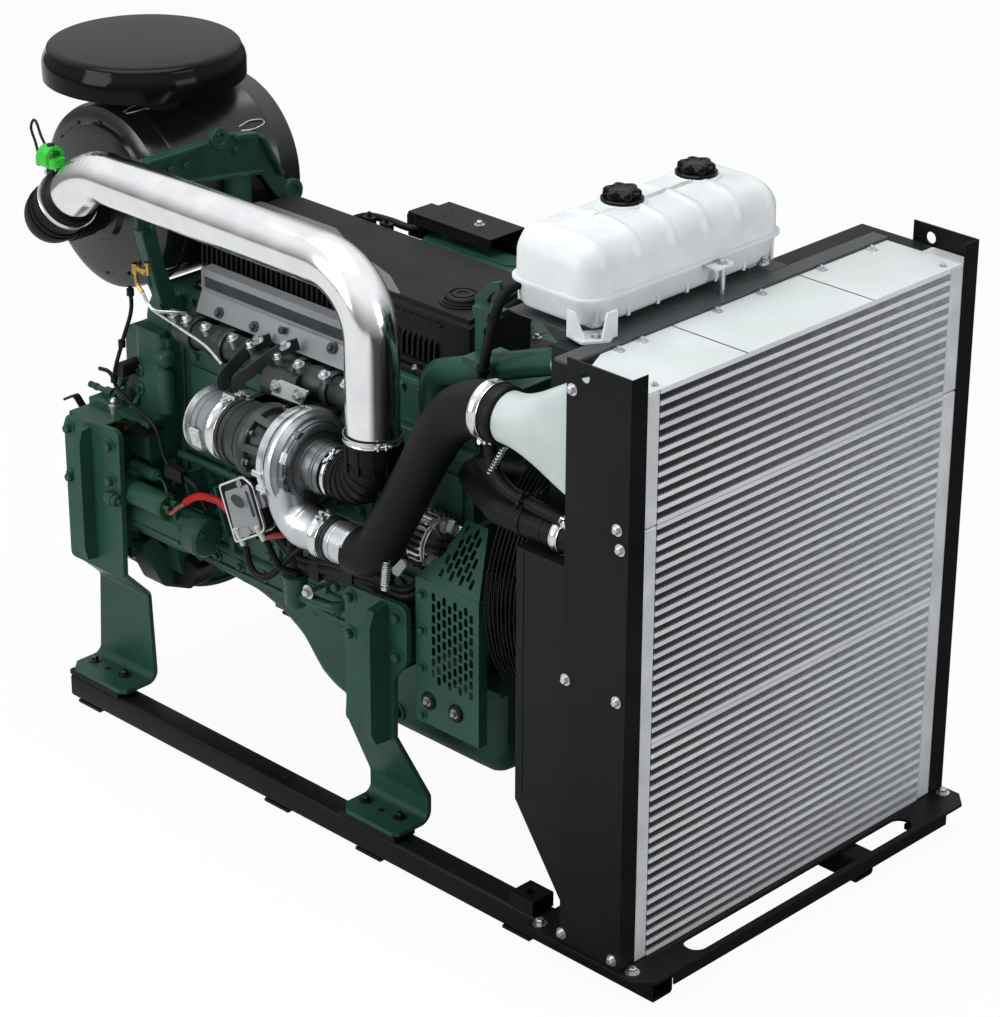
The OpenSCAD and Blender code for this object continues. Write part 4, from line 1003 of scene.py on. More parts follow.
def charge_air():
    """The hose from the turbocharger, its radius read from the distance gone, and the cone:
    ovals whose power and size blend from round to the cooler's long slot."""
    x0, y0, z0, x1, y1, z1 = extent("charge_air_hose")
    turbo_y = middle("compressor_elbow")[1]
    outlet = np.array([x0, -405, 785])
    top = np.array([x1, turbo_y, z1 - 55])
    path = arc_path([outlet + (18, 0, 8), (-738, -405, 790), (-525, turbo_y, top[2]), top], (90, 185),
        14, 14)
    gone = gone_along(path)
    gone /= gone[-1]
    radius = np.interp(gone, [0, 0.1, 0.3, 0.55, 0.8, 1], [53, 53, 51, 51, 60, 63])
    piece("hose_tube", RUBBER, tube(path, radius, 48), ["charge_air_hose"], smooth=50)
    piece("hose_clamps", STAINLESS, [clamp(top + (-38, 0, 0), (1, 0, 0), 63, 26, (0, -0.35, -1), 34)],
        smooth=40)
    x0, y0, z0, x1, y1, z1 = extent("charge_air_cone")
    t = round_steps(64)
    rings = []
    for x, share in [(x0 - 10, 0), (x0 + 16, 0)] + [(x0 + 16 + (x1 - x0 - 34) * s, s * s * (3 - 2 * s))
            for s in np.linspace(0.06, 1, 16)] + [(x1, 1)]:
        power = 1 - 0.78 * share
        wide = 56 + (39 - 56) * share
        tall = 56 + ((z1 - z0) / 2 - 2 - 56) * share
        cy = turbo_y + ((y0 + y1) / 2 - turbo_y) * share
        cz = top[2] + ((z0 + z1) / 2 - top[2]) * share
        c, s = np.cos(t), np.sin(t)
        rings.append(np.stack([np.full(64, x), cy + wide * np.sign(c) * np.abs(c) ** power,
            cz + tall * np.sign(s) * np.abs(s) ** power], 1))
    piece("cone_shell", CONE_COAT, skin(np.array(rings)), ["charge_air_cone"], smooth=40)
    piece("cone_gaiter", RUBBER, lathe([(x0 - 8, 54), (x0 - 8, 64), (x0 + 4, 63.5), (x0 + 8, 60),
        (x0 + 10, 54)], (0, turbo_y, top[2]), "x", 56), smooth=50)


# ---- Intake: elbow, polished pipe, cleaner ----

def elbow_ribs():
    """The rubber elbow on the compressor: a round bend that widens upwards with fan-like
    ribs, and a cuff with ribs along it."""
    x0, y0, z0, x1, y1, z1 = extent("compressor_elbow")
    y = (y0 + y1) / 2
    cx, cz = x1 - 68, z0 + 75
    path = arc_path([(x0, y, cz), (cx, y, cz), (cx, y, z1)], 88, 20, 8)
    gone = gone_along(path)
    gone /= gone[-1]
    radius = 52 + 9 * np.clip(gone / 0.75, 0, 1)
    parts = [tube(path, radius, 44)]
    along = frames(path)[0]
    for k in range(3, len(path) - 1):
        if k % 3 == 0 and path[k][2] < z1 - 70:
            r = radius[k]
            parts.append(lathe([(-2.5, r - 4), (-2.5, r + 1), (-1, r + 3), (1, r + 3), (2.5, r + 1),
                (2.5, r - 4)], path[k], along[k], 40, loop=True))
    parts.append(lathe([(z1 - 62, 58), (z1 - 60, 64), (z1 - 26, 64), (z1 - 22, 63), (z1 - 1, 63),
        (z1, 58)], (cx, y, 0), "z", 40, loop=True))
    for k in range(12):
        out, side = spoke(2 * np.pi * (k + 0.5) / 12, "z")
        foot = np.array([cx, y, 0]) + out * 62
        ring = [foot + side * p + out * q for p, q in rect(-2.5, 2.5, -1, 4.4)]
        parts.append(skin(np.array([[c + (0, 0, z) for c in ring] for z in (z1 - 84, z1 - 26)])))
    piece("elbow_body", RUBBER, parts, ["compressor_elbow"], smooth=45)
    piece("elbow_clamps", STAINLESS, [clamp((cx, y, z1 - 11), (0, 0, 1), 63.5, 16, (1, -0.5, 0)),
        clamp((x0 + 15, y, cz), (1, 0, 0), 53, 14, (0, -0.6, 1))], smooth=40)


def intake_pipe():
    """Polished tube: up, round a wrinkled bend, back over the engine and down to the cleaner.
    On the inside of each bend the radius ripples by a sine that fades towards its ends."""
    x0, y0, z0, x1, y1, z1 = extent("intake_pipe")
    y, r = (y0 + y1) / 2, (y1 - y0) / 2
    drop_x, top_z = x1 - r, z1 - r
    cleaner = middle("air_cleaner")
    knee = np.array([cleaner[0] + 155, y, top_z])
    down = unit(np.array([cleaner[0], y, cleaner[2]]) - knee)
    end = np.array([cleaner[0], y, cleaner[2]]) - down * 82
    path = arc_path([(drop_x, y, z0), (drop_x, y, top_z), knee, end], 150, 36, 12)
    t = round_steps(64)
    along, u, v = frames(path)
    turn = np.linalg.norm(np.gradient(along, axis=0), axis=1)
    gone = gone_along(path)
    bend = np.gradient(along, axis=0)
    bend = np.where(turn[:, None] > 0.02, bend / np.maximum(turn, 0.02)[:, None], 0)
    out = np.cos(t)[None, :, None] * u[:, None] + np.sin(t)[None, :, None] * v[:, None]
    inner = np.abs(np.einsum("ikj,ij->ik", out, bend)) * 0.5
    ripple = 0.9 * np.sin(gone * 2 * np.pi / 15)[:, None] * np.clip(inner, 0, 1) ** 2
    piece("pipe_shell", POLISHED, skin(path[:, None] + out * (r - 0.9 + ripple)[..., None]),
        ["intake_pipe"], smooth=60)
    return end, down


def intake_elbow(end, down):
    """A rubber elbow with a ball corner between the polished pipe and the cleaner, and the
    restriction indicator standing on it in its green clip."""
    cleaner = middle("air_cleaner")
    face = near("air_cleaner")[0][1]
    corner = np.array([cleaner[0], end[1], cleaner[2]])
    mouth = np.array([cleaner[0], face, cleaner[2]])
    ball = [(-69 * math.cos(a), 69 * math.sin(a) + 0.05) for a in np.linspace(0, np.pi, 25)]
    parts = [tube([end - down * 2, corner], 68, 48), tube([corner, mouth], 69, 48),
        lathe(ball, corner, "y", 48)]
    parts.append(lathe([(-2, 58), (-2, 69), (26, 72), (30, 66), (30, 58)], end - down * 6, down, 48,
        loop=True))
    for k in range(4):
        parts.append(band(corner + (0, 34 + 16 * k, 0), "y", 66, 74, -2, 2, 44))
    for k in range(2):
        parts.append(band(corner - down * (22 - 16 * k), down, 62, 71, -2, 2, 44))
    piece("inlet_elbow_body", RUBBER, parts, ["intake_elbow"], smooth=45)
    piece("inlet_elbow_clamps", STAINLESS, [clamp(end + down * 12, down, 71, 12, (-0.4, 0, 1)),
        clamp((cleaner[0], face + 14, cleaner[2]), (0, 1, 0), 73, 12, (1, 0, 0.6))], smooth=40)
    at = end + np.array([-64, 0, 70])
    clip = [band(at + (0, 0, 14), "x", 19, 28, -17, 17, 28),
        slab(rect(at[0] - 32, at[0] + 32, at[1] - 20, at[1] + 20, 5), at[2] - 6, at[2] + 14),
        block(at[0] - 40, at[0] - 30, at[1] - 12, at[1] + 12, at[2] - 14, at[2] + 12)]
    piece("restriction_clip", GREEN_NYLON, clip, bevel=1.5)
    hold = [block(at[0] - 12, at[0] + 32, at[1] - 11, at[1] + 11, at[2] - 26, at[2] - 20),
        block(at[0] - 10, at[0] - 6, at[1] - 8, at[1] + 8, at[2] - 22, at[2] - 2),
        block(at[0] + 22, at[0] + 26, at[1] - 8, at[1] + 8, at[2] - 44, at[2] - 2)]
    piece("restriction_holder", ZINC, hold, bevel=0.8)
    loop = spline([at + (-10, 0, 30), at + (-30, 0, 56), at + (-44, 0, 84), at + (-56, 0, 88),
        at + (-66, 0, 66), at + (-52, 0, 34), at + (-44, 0, 8)], 10)
    piece("restriction_wire", BLACK_NYLON, [tube(loop, 3.2, 10), stud(at + (4, 0, 30), "+z", 9, 16)],
        smooth=50)


def air_cleaner():
    """A drum lying across the engine: lid with rings and radial ribs, two rolled bands, three
    wire latches and a socket for the rain cap."""
    x0, y0, z0, x1, y1, z1 = extent("air_cleaner")
    mid = middle("air_cleaner")
    r = (z1 - z0) / 2
    near_face, far_face = -211.5, 211.5
    c = (mid[0], 0, mid[2])
    drum = lathe([(near_face + 60, r - 3), (near_face + 62, r - 1), (near_face + 66, r),
        (near_face + 72, r), (near_face + 75, r - 3), (far_face - 70, r - 3), (far_face - 66, r - 1),
        (far_face - 60, r - 1), (far_face - 57, r - 3), (far_face - 14, r - 3), (far_face - 4, r - 8),
        (far_face, r - 18), (far_face, r - 60), (far_face - 6, r - 66), (far_face - 6, 20)], c, "y", 96)
    lid = lathe([(near_face + 62, r - 4), (near_face + 22, r - 5), (near_face + 8, r - 10),
        (near_face, r - 24), (near_face - 2, r - 44), (near_face - 10, r - 50),
        (near_face - 14, r - 70), (near_face - 18, 110), (near_face - 20, 96), (near_face - 34, 88),
        (near_face - 38, 70)], c, "y", 96)
    ribs = []
    for k in range(14):
        out, side = spoke(2 * np.pi * (k + 0.5) / 14, "y")
        outline = [(near_face - 16, 100), (near_face - 13, 150), (near_face - 4, r - 40),
            (near_face + 3, r - 40), (near_face - 8, 100)]
        ring = [np.array(c) + out * q + np.array([0, p, 0]) for p, q in outline]
        ribs.append(skin(np.array([[p + side * w for p in ring] for w in (-3, 3)])))
    piece("cleaner_drum", BLACK_GLOSS, [drum, lid], ["air_cleaner"], smooth=40)
    piece("cleaner_ribs", BLACK_GLOSS, ribs, bevel=1.2)
    latches = []
    for a in (75, 20, 140, 200, 320):
        out, side = spoke(math.radians(a), "y")
        foot = np.array(c) + out * (r - 2)
        for s in (-1, 1):
            latches.append(cord([foot + side * 4 * s + (0, near_face + 26, 0) - out * 2,
                foot + side * 10 * s + (0, near_face + 50, 0) + out * 1, foot + side * 9 * s
                + (0, near_face + 84, 0) + out * 1, foot + side * 3 * s + (0, near_face + 98, 0)
                - out * 1], 1.8, 8, 5))
        latches.append(rod(foot + (0, near_face + 84, 0), side, 3.2, -14, 14, 10))
    for a in (40, 150, 270):
        latches.append(turned(cord([(mid[0] + r - 1, 62, mid[2] - 5),
            (mid[0] + r + 2, 96, mid[2] - 11), (mid[0] + r + 2, 128, mid[2] - 7),
            (mid[0] + r - 1, 138, mid[2]), (mid[0] + r + 2, 128, mid[2] + 7),
            (mid[0] + r + 2, 96, mid[2] + 11), (mid[0] + r - 1, 62, mid[2] + 5)], 2, 8, 6), mid,
            (0, 1, 0), -a))
    piece("cleaner_latches", ZINC, latches, smooth=50)


def rain_cap():
    """Mushroom cap: a flat crown, a rolled rim and a hollow underside, over a louvred neck."""
    x0, y0, z0, x1, y1, z1 = extent("rain_cap")
    c = ((x0 + x1) / 2, (y0 + y1) / 2, 0)
    r = (x1 - x0) / 2
    low = z1 - 86
    t = np.linspace(0, np.pi / 2, 7)
    shoulder = [(z1 - 17 + 12 * math.sin(a), r - 12 - 26 + 26 * math.cos(a)) for a in t]
    cap = lathe([(low + 12, 100), (low + 10, r - 20), (low + 2, r - 8), (low, r - 4),
        (low + 2, r - 0.5), (low + 40, r - 0.5), (low + 54, r - 4), (z1 - 20, r - 11)] + shoulder
        + [(z1 - 3, r - 60), (z1 - 1, 150), (z1 - 0.5, 60), (z1 - 0.5, 1)], c, "z", 112)
    top = middle("air_cleaner")[2] + (near("air_cleaner")[1][0] - near("air_cleaner")[0][0]) / 2
    neck = [lathe([(top - 30, 88), (top + 6, 88), (top + 10, 94), (low + 4, 94), (low + 12, 100)], c,
        "z", 64)]
    for k in range(28):
        out, side = spoke(2 * np.pi * k / 28, "z")
        ring = [np.array(c) + out * p + side * q for p, q in ((92, -2.5), (102, -1.5), (102, 1.5),
            (92, 2.5))]
        neck.append(skin(np.array([[p + (0, 0, z) for p in ring] for z in (top + 8, low + 12)])))
    piece("cap_mushroom", CAP_GLOSS, cap, ["rain_cap"], smooth=50)
    piece("cap_neck", BLACK_NYLON, neck, smooth=30)


def cleaner_bracket():
    """Cast plate behind the rocker cover: a bar along the top, a raised eye, an arm down to a
    second eye, a round post, a near leg and its flanges."""
    x0, y0, z0, x1, y1, z1 = extent("air_cleaner_bracket")
    x = middle("cylinder_block")[0] - 490
    eye1, eye2 = (-59, 1447), (163, 1262)
    plate = [(-296, 1352), (-296, 1450), (-120, 1453), (-20, 1450), (45, 1438), (61, 1426),
        (123, 1316), (150, 1290), (182, 1276), (186, 1244), (160, 1238), (133, 1246), (110, 1264),
        (60, 1335), (-38, 1350), (-232, 1375), (-262, 1300), (-236, 1180), (-205, 1100), (-180, 1085),
        (-180, 1040), (-236, 1040), (-262, 1100), (-285, 1150), (-312, 1290), (-313, 1340)]
    parts = [slab(plate, x, x + 12, "x")]
    for (y, z), r, hole in ((eye1, 27, 13), (eye2, 31, 15)):
        parts.append(band((x, y, z), "x", hole, r, 0, 16, 32))
    parts.append(lathe([(cover_z(), 34), (1350, 32)], (x + 6, -4, 0), "z", 28))
    for a, b in (((-291, 1446), (-104, 1449)), ((-20, 1444), (45, 1435)), ((61, 1426), (123, 1316)),
            ((-312, 1290), (-262, 1100)), ((-232, 1379), (60, 1340)), ((-292, 1356), (-292, 1446))):
        a, b = np.array(a, float), np.array(b, float)
        d = unit(b - a)
        n = np.array([-d[1], d[0]]) * 5
        parts.append(slab([a - n, b - n, b + n, a + n], x, x + 30, "x"))
    piece("bracket_plate", GREEN_CAST, parts, ["air_cleaner_bracket"], bevel=3)
    spots = [(x + 12, -215, 1414), (x + 12, -168, 1412), (x + 12, -14, 1412), (x + 12, -275, 1290),
        (x + 12, -222, 1066)]
    piece("bracket_bolts", GREEN_CAST, bolts(spots, "+x", 16))
    straps = [slab(rect(x - 45, x + 1, y, y + 40, 4), 1375, 1410) for y in (-220, 10)]
    piece("bracket_lugs", GREEN_CAST, straps, bevel=3)


def cover_z():
    return near("rocker_cover")[0][2]


# ---- Rocker cover, cooler and sheet cover ----

def rocker_cover():
    """A moulded cover with a rolled flange, pleated near side, a ribbed upper edge, and a bare
    plate along its top."""
    x0, y0, z0, x1, y1, z1 = extent("rocker_cover")
    refined("rocker_cover", BLACK_NYLON, 9, 4)
    rear, front = x0 + 14, -790
    near_y = -145
    pleats = []
    for x in np.arange(rear + 10, front - 6, 17.0):
        foot, head = (z0 + 34, z0 + 96) if x > -1000 else (z0 + 62, z1 - 30)
        pleats.append(slab([(near_y - 11, foot + 6), (near_y + 2, foot), (near_y + 2, head),
            (near_y - 9, head - 14)], x, x + 6, "x"))
    for x in np.arange(rear + 20, front - 10, 26.0):
        pleats.append(slab([(near_y - 4, z1 - 26), (near_y + 8, z1 - 12), (near_y + 30, z1 - 1),
            (near_y + 30, z1 - 8), (near_y + 4, z1 - 30)], x, x + 5, "x"))
    pleats.append(block(rear, front, near_y - 14, near_y, z0 + 28, z0 + 34))
    pleats.append(block(rear, front, near_y - 9, near_y, z1 - 34, z1 - 29))
    piece("cover_pleats", BLACK_NYLON, pleats, bevel=0.8)
    trim = slab(soft([(x0 + 8, -134), (-930, -134), (-1029, -72), (-1196, -19), (-1252, 6),
        (-1331, 46), (x0 + 8, 44)], 12), z1 - 1.5, z1 + 1.2)
    piece("cover_trim_plate", GREY_TRIM, trim, bevel=0.8)
    spots = [(x, -156, z0 + 15) for x in np.linspace(x0 + 30, x1 - 60, 8)]
    piece("cover_bolts", ZINC, bolts(spots, "+z", 11))
    spots = [(x, 156, z0 + 15) for x in np.linspace(x0 + 30, x1 - 110, 7)]
    piece("cover_bolts_far", ZINC, bolts(spots, "+z", 11))
    at = middle("oil_filler_cap") * (1, 1, 0)
    c0, c1 = (corner[2] for corner in near("oil_filler_cap"))
    cap = lathe([(c0 - 2, 52), (c0 + 3, 52), (c0 + 4, 47), (c0 + 8, 46), (c0 + 9, 42), (c0 + 15, 41),
        (c1 - 3, 39), (c1 - 1, 36), (c1 - 1, 31), (c1 - 4, 30), (c1 - 4, 25), (c1 - 1, 24),
        (c1 - 1, 14), (c1 - 3.5, 13), (c1 - 3.5, 2)], at, "z", 64)
    piece("filler_cap_rings", BLACK_NYLON, cap, ["oil_filler_cap"], smooth=30)


def far_top():
    """What stands on the far side of the rocker cover: cooler, control box and loom."""
    x0, y0, z0, x1, y1, z1 = extent("cooler_housing")
    refined("cooler_housing", GREEN_CAST, 12, 4)
    oval = slab(rect(x0 + 26, x1 - 26, y0 + 22, y1 - 22, 24, 8), z1 - 2, z1 + 3)
    piece("cooler_oval", GREEN_PLATE, oval, bevel=2)
    refined("control_box", BLACK_COAT, 1.5)
    x0, y0, z0, x1, y1, z1 = extent("control_box")
    # Painted shade: thin dark discs on the top stand for the shade inside its holes.
    marks = [rod((x, y, 0), "z", r, z1 - 1, z1 + 0.4, 14) for x, y, r in ((x0 + 60, y0 + 40, 7),
        (x0 + 84, y0 + 52, 5), (x0 + 66, y0 + 58, 4), (x0 + 180, y0 + 30, 5))]
    piece("sheet_cover_hole_shade", RUBBER, marks)
    piece("sheet_cover_bolt", ZINC, bolt((x0 + 160, y0 + 52, z1), "+z", 13))
    wall = [block(x0 + 6, x1 - 6, y1 - 1, y1 + 1.5, z, z + 8) for z in np.arange(z0 + 14, z1 - 24, 22)]
    plugs = [block(x0 - 34, x0 + 8, y0 + 12, y1 - 24, z1 - 66, z1 - 6),
        block(x0 - 46, x0 - 30, y0 + 20, y1 - 50, z1 - 52, z1 - 18), block(x0, x1 - 4, y0 + 2, y0 + 12,
        z1 - 30, z1 - 3)]
    piece("control_box_plugs", BLACK_NYLON, plugs, bevel=2)
    piece("control_box_fins", BLACK_COAT, wall, bevel=1)
    clips = []
    for x, y, z in ((-1330, 150, 1262), (-1300, 176, 1240), (-1272, 150, 1262)):
        clips.append(slab(rect(x - 16, x + 16, y - 10, y + 10, 4), z - 4, z + 12))
        clips.append(stud((x, y, z + 12), "+z", 5, 12))
    loom = cord([(-1420, 160, 1236), (-1360, 172, 1262), (-1290, 176, 1268), (-1230, 190, 1262),
        (-1200, 240, 1262)], 9, 12)
    piece("far_loom", BLACK_NYLON, clips + [loom], bevel=0.8)


# ---- Turbocharger ----

def turbo_axis():
    return middle("exhaust_outlet") + (0, 0, 7)


def exhaust_outlet():
    """A flared mouth, a band clamp with its bolt on top, and a light tab with a D-shaped
    ridge on the near side."""
    x0, ty, tz = near("exhaust_outlet")[0][0], *turbo_axis()[1:]
    at = (x0, ty, tz)
    bead = lathe([(0, 70), (0, 75), (3, 78), (8, 78), (11, 73), (14, 69), (14, 64), (2, 64)], at, "x",
        64, loop=True)
    piece("outlet_bead", ZINC, bead, ["exhaust_outlet"])
    tab = [slab(soft(rect(x0 + 20, x0 + 52, tz - 24, tz + 24), 4), ty - 74, ty - 68, "y"),
        tube(arc_path([(x0 + 28, ty - 74, tz + 13), (x0 + 45, ty - 74, tz + 13),
        (x0 + 45, ty - 74, tz - 13), (x0 + 28, ty - 74, tz - 13)], 12, 5), 2.4, 8)]
    piece("outlet_tab", ZINC_SHEET, [spun(t, at, 14) for t in tab], bevel=0.8, smooth=40)
    pipe = lathe([(13, 60), (13, 66), (20, 66), (22, 69), (32, 69), (34, 66), (46, 66), (48, 69),
        (60, 69), (62, 67), (112, 67), (112, 60)], at, "x", 64, loop=True)
    piece("outlet_pipe", SHIELD, pipe, smooth=40)
    rings = [lathe([(x, 64), (x, r - 2), (x + 2, r), (x + 6, r), (x + 8, r - 2), (x + 8, 64)], at, "x",
        64, loop=True) for x, r in ((104, 77), (114, 75), (124, 78))]
    piece("outlet_rings", CAST_IRON, rings, smooth=40)
    top = (x0 + 88, ty - 8, tz + 78)
    knot = [clamp((x0 + 88, ty, tz), (1, 0, 0), 73.2, 28, (0, -0.1, 1)), rod(top, "x", 8, -20, 20, 6),
        rod(top, "y", 5, -26, 34, 12), rod((top[0] + 8, top[1] + 22, top[2] + 4), "y", 9, 0, 11, 6)]
    piece("outlet_clamp", STAINLESS, knot, smooth=40)


def turbine():
    """A barrel in two sections, then cast arms round a narrower neck. The second section's
    radius grows with the angle, so that it is a spiral towards the flange."""
    ty, tz = turbo_axis()[1:]
    x = near("turbine_housing")[0][0]

    def spiral(t):
        return 0.95 + 0.05 * (1 + np.cos(t - 2.2)) / 2

    at = (x, ty, tz)
    body = [lathe([(30, 40), (30, 74), (34, 76), (68, 80), (70, 77), (72, 77), (75, 83), (86, 91),
        (98, 94), (108, 93), (116, 88), (118, 74), (140, 64), (150, 60), (176, 62), (184, 76),
        (186, 40)], at, "x", 72, lobes=spiral),
        slab(soft([(-345, tz + 30), (-348, 985), (-340, 1000), (-266, 1000), (-262, 980),
        (-285, tz + 20)], 8), x + 20, x + 92, "x"), slab(soft(rect(x + 4, x + 108, -350, -262), 10),
        984, 1000)]
    for a in (28, 76, 124, 172, 220, 300):
        arm = slab([(x + 108, tz + 66), (x + 112, tz + 92), (x + 126, tz + 86), (x + 160, tz + 78),
            (x + 172, tz + 86), (x + 184, tz + 92), (x + 184, tz + 56), (x + 108, tz + 56)], ty - 9,
            ty + 9, "y")
        body.append(spun(arm, at, a))
    piece("turbine_scroll", CAST_IRON, body, ["turbine_housing"], bevel=2, smooth=45)
    foot = slab(soft([(x + 70, 842), (x + 82, 866), (x + 150, 842), (x + 168, 822), (x + 160, 806),
        (x + 112, 812)], 10), ty - 70, ty - 52, "y")
    piece("turbine_foot", SHIELD, foot, bevel=2)
    heads = [spun(bolt((x + 116, ty, tz + 82), "+x", 12), at, a) for a in (52, 100, 148, 196, 250, 330)]
    heads += [bolt((x + 14, -338, 1000), "+z", 13), bolt((x + 98, -338, 1000), "+z", 13),
        bolt((x + 92, ty - 70, 850), "-y", 17)]
    piece("turbine_bolts", STEEL, heads)


def compressor():
    """A stepped scroll in front of its back plate, held by a vee band with two T-bolts;
    its outlet leaves the near side downwards and turns to the front."""
    ty, tz = turbo_axis()[1:]
    x0 = near("compressor_housing")[0][0]
    front = near("compressor_elbow")[0][0]
    end = near("charge_air_hose")[0][0]
    back, face = x0 + 64, front - 55
    at = (0, ty, tz)

    def spiral(t):
        return 1 - 0.03 * (1 - np.cos(t - 0.6)) / 2

    body = [lathe([(back, 70), (back, 104), (back + 2, 109), (back + 7, 111), (back + 8, 115),
        (back + 13, 119), (back + 22, 120), (back + 30, 118), (back + 31, 115), (back + 38, 109),
        (back + 42, 101), (back + 42, 80)], at, "x", 96, lobes=spiral),
        lathe([(x0, 40), (x0, 54), (x0 + 6, 57), (x0 + 16, 57), (x0 + 20, 52), (x0 + 30, 52),
        (x0 + 36, 70), (x0 + 44, 96), (x0 + 46, 103), (back + 2, 103), (back + 2, 70)], at, "x", 72)]
    outlet_y, outlet_z = -405, 794
    path = arc_path([(-1003, -424, 900), (-1003, outlet_y, outlet_z), (end + 26, outlet_y, outlet_z)],
        60, 14, 8)
    gone = gone_along(path)
    body.append(tube(path, np.interp(gone, [0, 70, 130, 170], [40, 45, 50, 46]), 48))
    joint = -884
    for x, r in ((joint - 19, 49), (joint + 44, 48), (end + 18, 51)):
        body.append(lathe([(-4, 40), (-4, r - 1.5), (-2, r), (2, r), (4, r - 1.5), (4, 40)],
            (x, outlet_y, outlet_z), "x", 48, loop=True))
    piece("compressor_scroll", CAST_ALU, body, ["compressor_housing"], bevel=1.5, smooth=45)
    # The stepped face, in the darker aluminium colour.
    dark = [lathe([(back + 36, 90), (back + 42, 99), (back + 50, 97), (back + 52, 93), (back + 54, 93),
        (back + 57, 89), (face - 1, 84), (face + 1, 78), (face - 3, 74), (face - 2, 70), (face, 66),
        (face + 3, 60), (front - 24, 58), (front - 20, 61), (front - 14, 61), (front - 12, 58),
        (front, 57), (front, 50)], at, "x", 96)]
    dark += [spun(lathe([(back + 40, 11), (back + 56, 11), (back + 57, 9)], (0, ty, tz + 90), "x", 20),
        at, a) for a in (30.0, 98.0, 290.0)]
    piece("compressor_face", ALU_FACE, dark, bevel=1.2, smooth=40)
    vee = [lathe([(back - 20, 100), (back - 20, 110), (back - 17, 113), (back - 3, 113), (back, 110),
        (back, 100)], at, "x", 96, loop=True)]
    for a in (96, 118):
        out = np.array([0, -math.sin(math.radians(a)), math.cos(math.radians(a))])
        foot = np.array([back - 12, ty, tz]) + out * 110
        side = np.array([0, -out[2], out[1]])
        vee.append(rod(foot, (1, 0, 0), 8, -16, 14, 14))
        vee.append(rod(foot + (14, 0, 0), side, 7, -14, -6, 6))
        for k in range(8):
            vee.append(lathe([(12 + 5 * k, 3), (13 + 5 * k, 4.6), (16 + 5 * k, 4.6), (17 + 5 * k, 3)],
                foot + (0, 4, 0), side, 10))
    top = (joint, outlet_y - 6, outlet_z + 55)
    vee += [clamp((joint, outlet_y, outlet_z), (1, 0, 0), 50, 26, (0, -0.25, 1)),
        rod(top, "x", 6, -16, 18, 12), rod(top, "y", 5, -14, 24, 6),
        band((end + 20, outlet_y, outlet_z), "x", 50, 52.5, -4, 4, 48)]
    piece("compressor_bands", STAINLESS, vee, smooth=40)
    rings = [lathe([(x, 44), (x, 49), (x + 2, 51), (x + 5, 51), (x + 7, 49), (x + 7, 44)],
        (joint, outlet_y, outlet_z), "x", 48, loop=True) for x in (14, 23)]
    rings += [spun(lathe([(back + 52, 8), (back + 59, 8), (back + 59.5, 6), (back + 57, 5),
        (back + 57, 1)], (0, ty, tz + 88), "x", 16), at, a) for a in (84.0, 112.0, 140.0, 178.0, 228.0)]
    rings.append(spun(slab(soft(rect(ty - 26, ty + 26, tz + 62, tz + 80), 6), face - 3, face + 4, "x"),
        at, 160))
    piece("compressor_dark_parts", CAST_IRON, rings, bevel=0.6, smooth=40)
    pads = [spun(block(back + 40, back + 59, ty - 13, ty + 13, tz + 86, tz + 100), at, 66),
        spun(block(back + 6, back + 26, ty - 10, ty + 10, tz + 110, tz + 120), at, -12)]
    piece("compressor_pads", ZINC, pads, bevel=1)


def manifold():
    """Cast log with a bulge at each cylinder, branches, and long bolts on spacers."""
    x0, y0, z0, x1, y1, z1 = extent("exhaust_manifold")
    y, z = -236, 1045
    ports = x0 + 30 + np.arange(6) * (x1 - x0 - 60) / 5
    profile = [(x0, 20), (x0, 32), (x0 + 6, 36)]
    for x in ports:
        profile += [(x - 30, 33), (x - 14, 37), (x + 14, 37), (x + 30, 33)]
    profile += [(x1 - 6, 36), (x1, 32), (x1, 20)]
    parts = [lathe(profile, (0, y, z), "x", 40)]
    for x in ports:
        parts.append(cord([(x - 8, y, z), (x, y + 22, z - 3), (x, y + 58, z - 2)], 27, 24, 5))
        parts.append(slab(soft(rect(x - 42, x + 42, z - 36, z + 34), 12), -193, -180, "y"))
    for x in (-1500, -1390, -1150, -1040):
        parts.append(lathe([(-10, 20), (-10, 39.5), (-6, 41), (6, 41), (10, 39.5), (10, 20)],
            (x, y, z), "x", 40))
    parts.append(slab(soft([(-296, 1000), (-300, 1020), (-282, 1066), (-240, 1070), (-240, 1000)], 8),
        -1219, -1111, "x"))
    piece("manifold_casting", CAST_IRON, parts, ["exhaust_manifold"], bevel=2, smooth=45)
    long_bolts = (-1551, -1505, -1438, -1345, -1285, -1192, -1123, -1039, -969)
    spacers = [lathe([(0, 8), (0, 11), (26, 11), (28, 9)], (x, -256, 1062), (0, -0.35, 1), 16)
        for x in long_bolts]
    heads = [bolt((x, -265, 1086), (0, -0.35, 1), 15) for x in long_bolts]
    piece("manifold_spacers", SHIELD, spacers, bevel=0.6)
    piece("manifold_bolts", ZINC, heads)
    parts = []
    for a, b in (((-1282, -262, 1074), (-1313, -330, 1015)), ((-1190, -262, 1089), (-1262, -330, 1024))):
        a, b = np.array(a, float), np.array(b, float)
        path = arc_path([a + (20, 40, 22), a + (0, 0, 12), b, b + (8, 10, -26)], 16, 5)
        parts.append(sweep(path, rect(-2.5, 2.5, -15, 15)))
    piece("turbo_stays", CAST_IRON, parts, bevel=1)
    piece("stay_bolts", ZINC, bolts([(-1272, -254, 1098), (-1180, -254, 1112)], (0, -0.5, 1), 15))
    plate = slab(soft([(-1179, 1010), (-1154, 1051), (-1059, 1051), (-1083, 1013)], 3), -300, -292, "y")
    piece("bright_plate", ZINC_SHEET, plate, bevel=1)
    piece("bright_plate_bolts", ZINC, bolts([(-1160, -300, 1035), (-1086, -300, 1034)], "-y", 17))
    hold = [block(-1170, -1076, -294, -240, 1028, 1036), block(-1120, -1000, -270, -250, 1000, 1012)]
    piece("bright_plate_arm", CAST_IRON, hold, bevel=1)


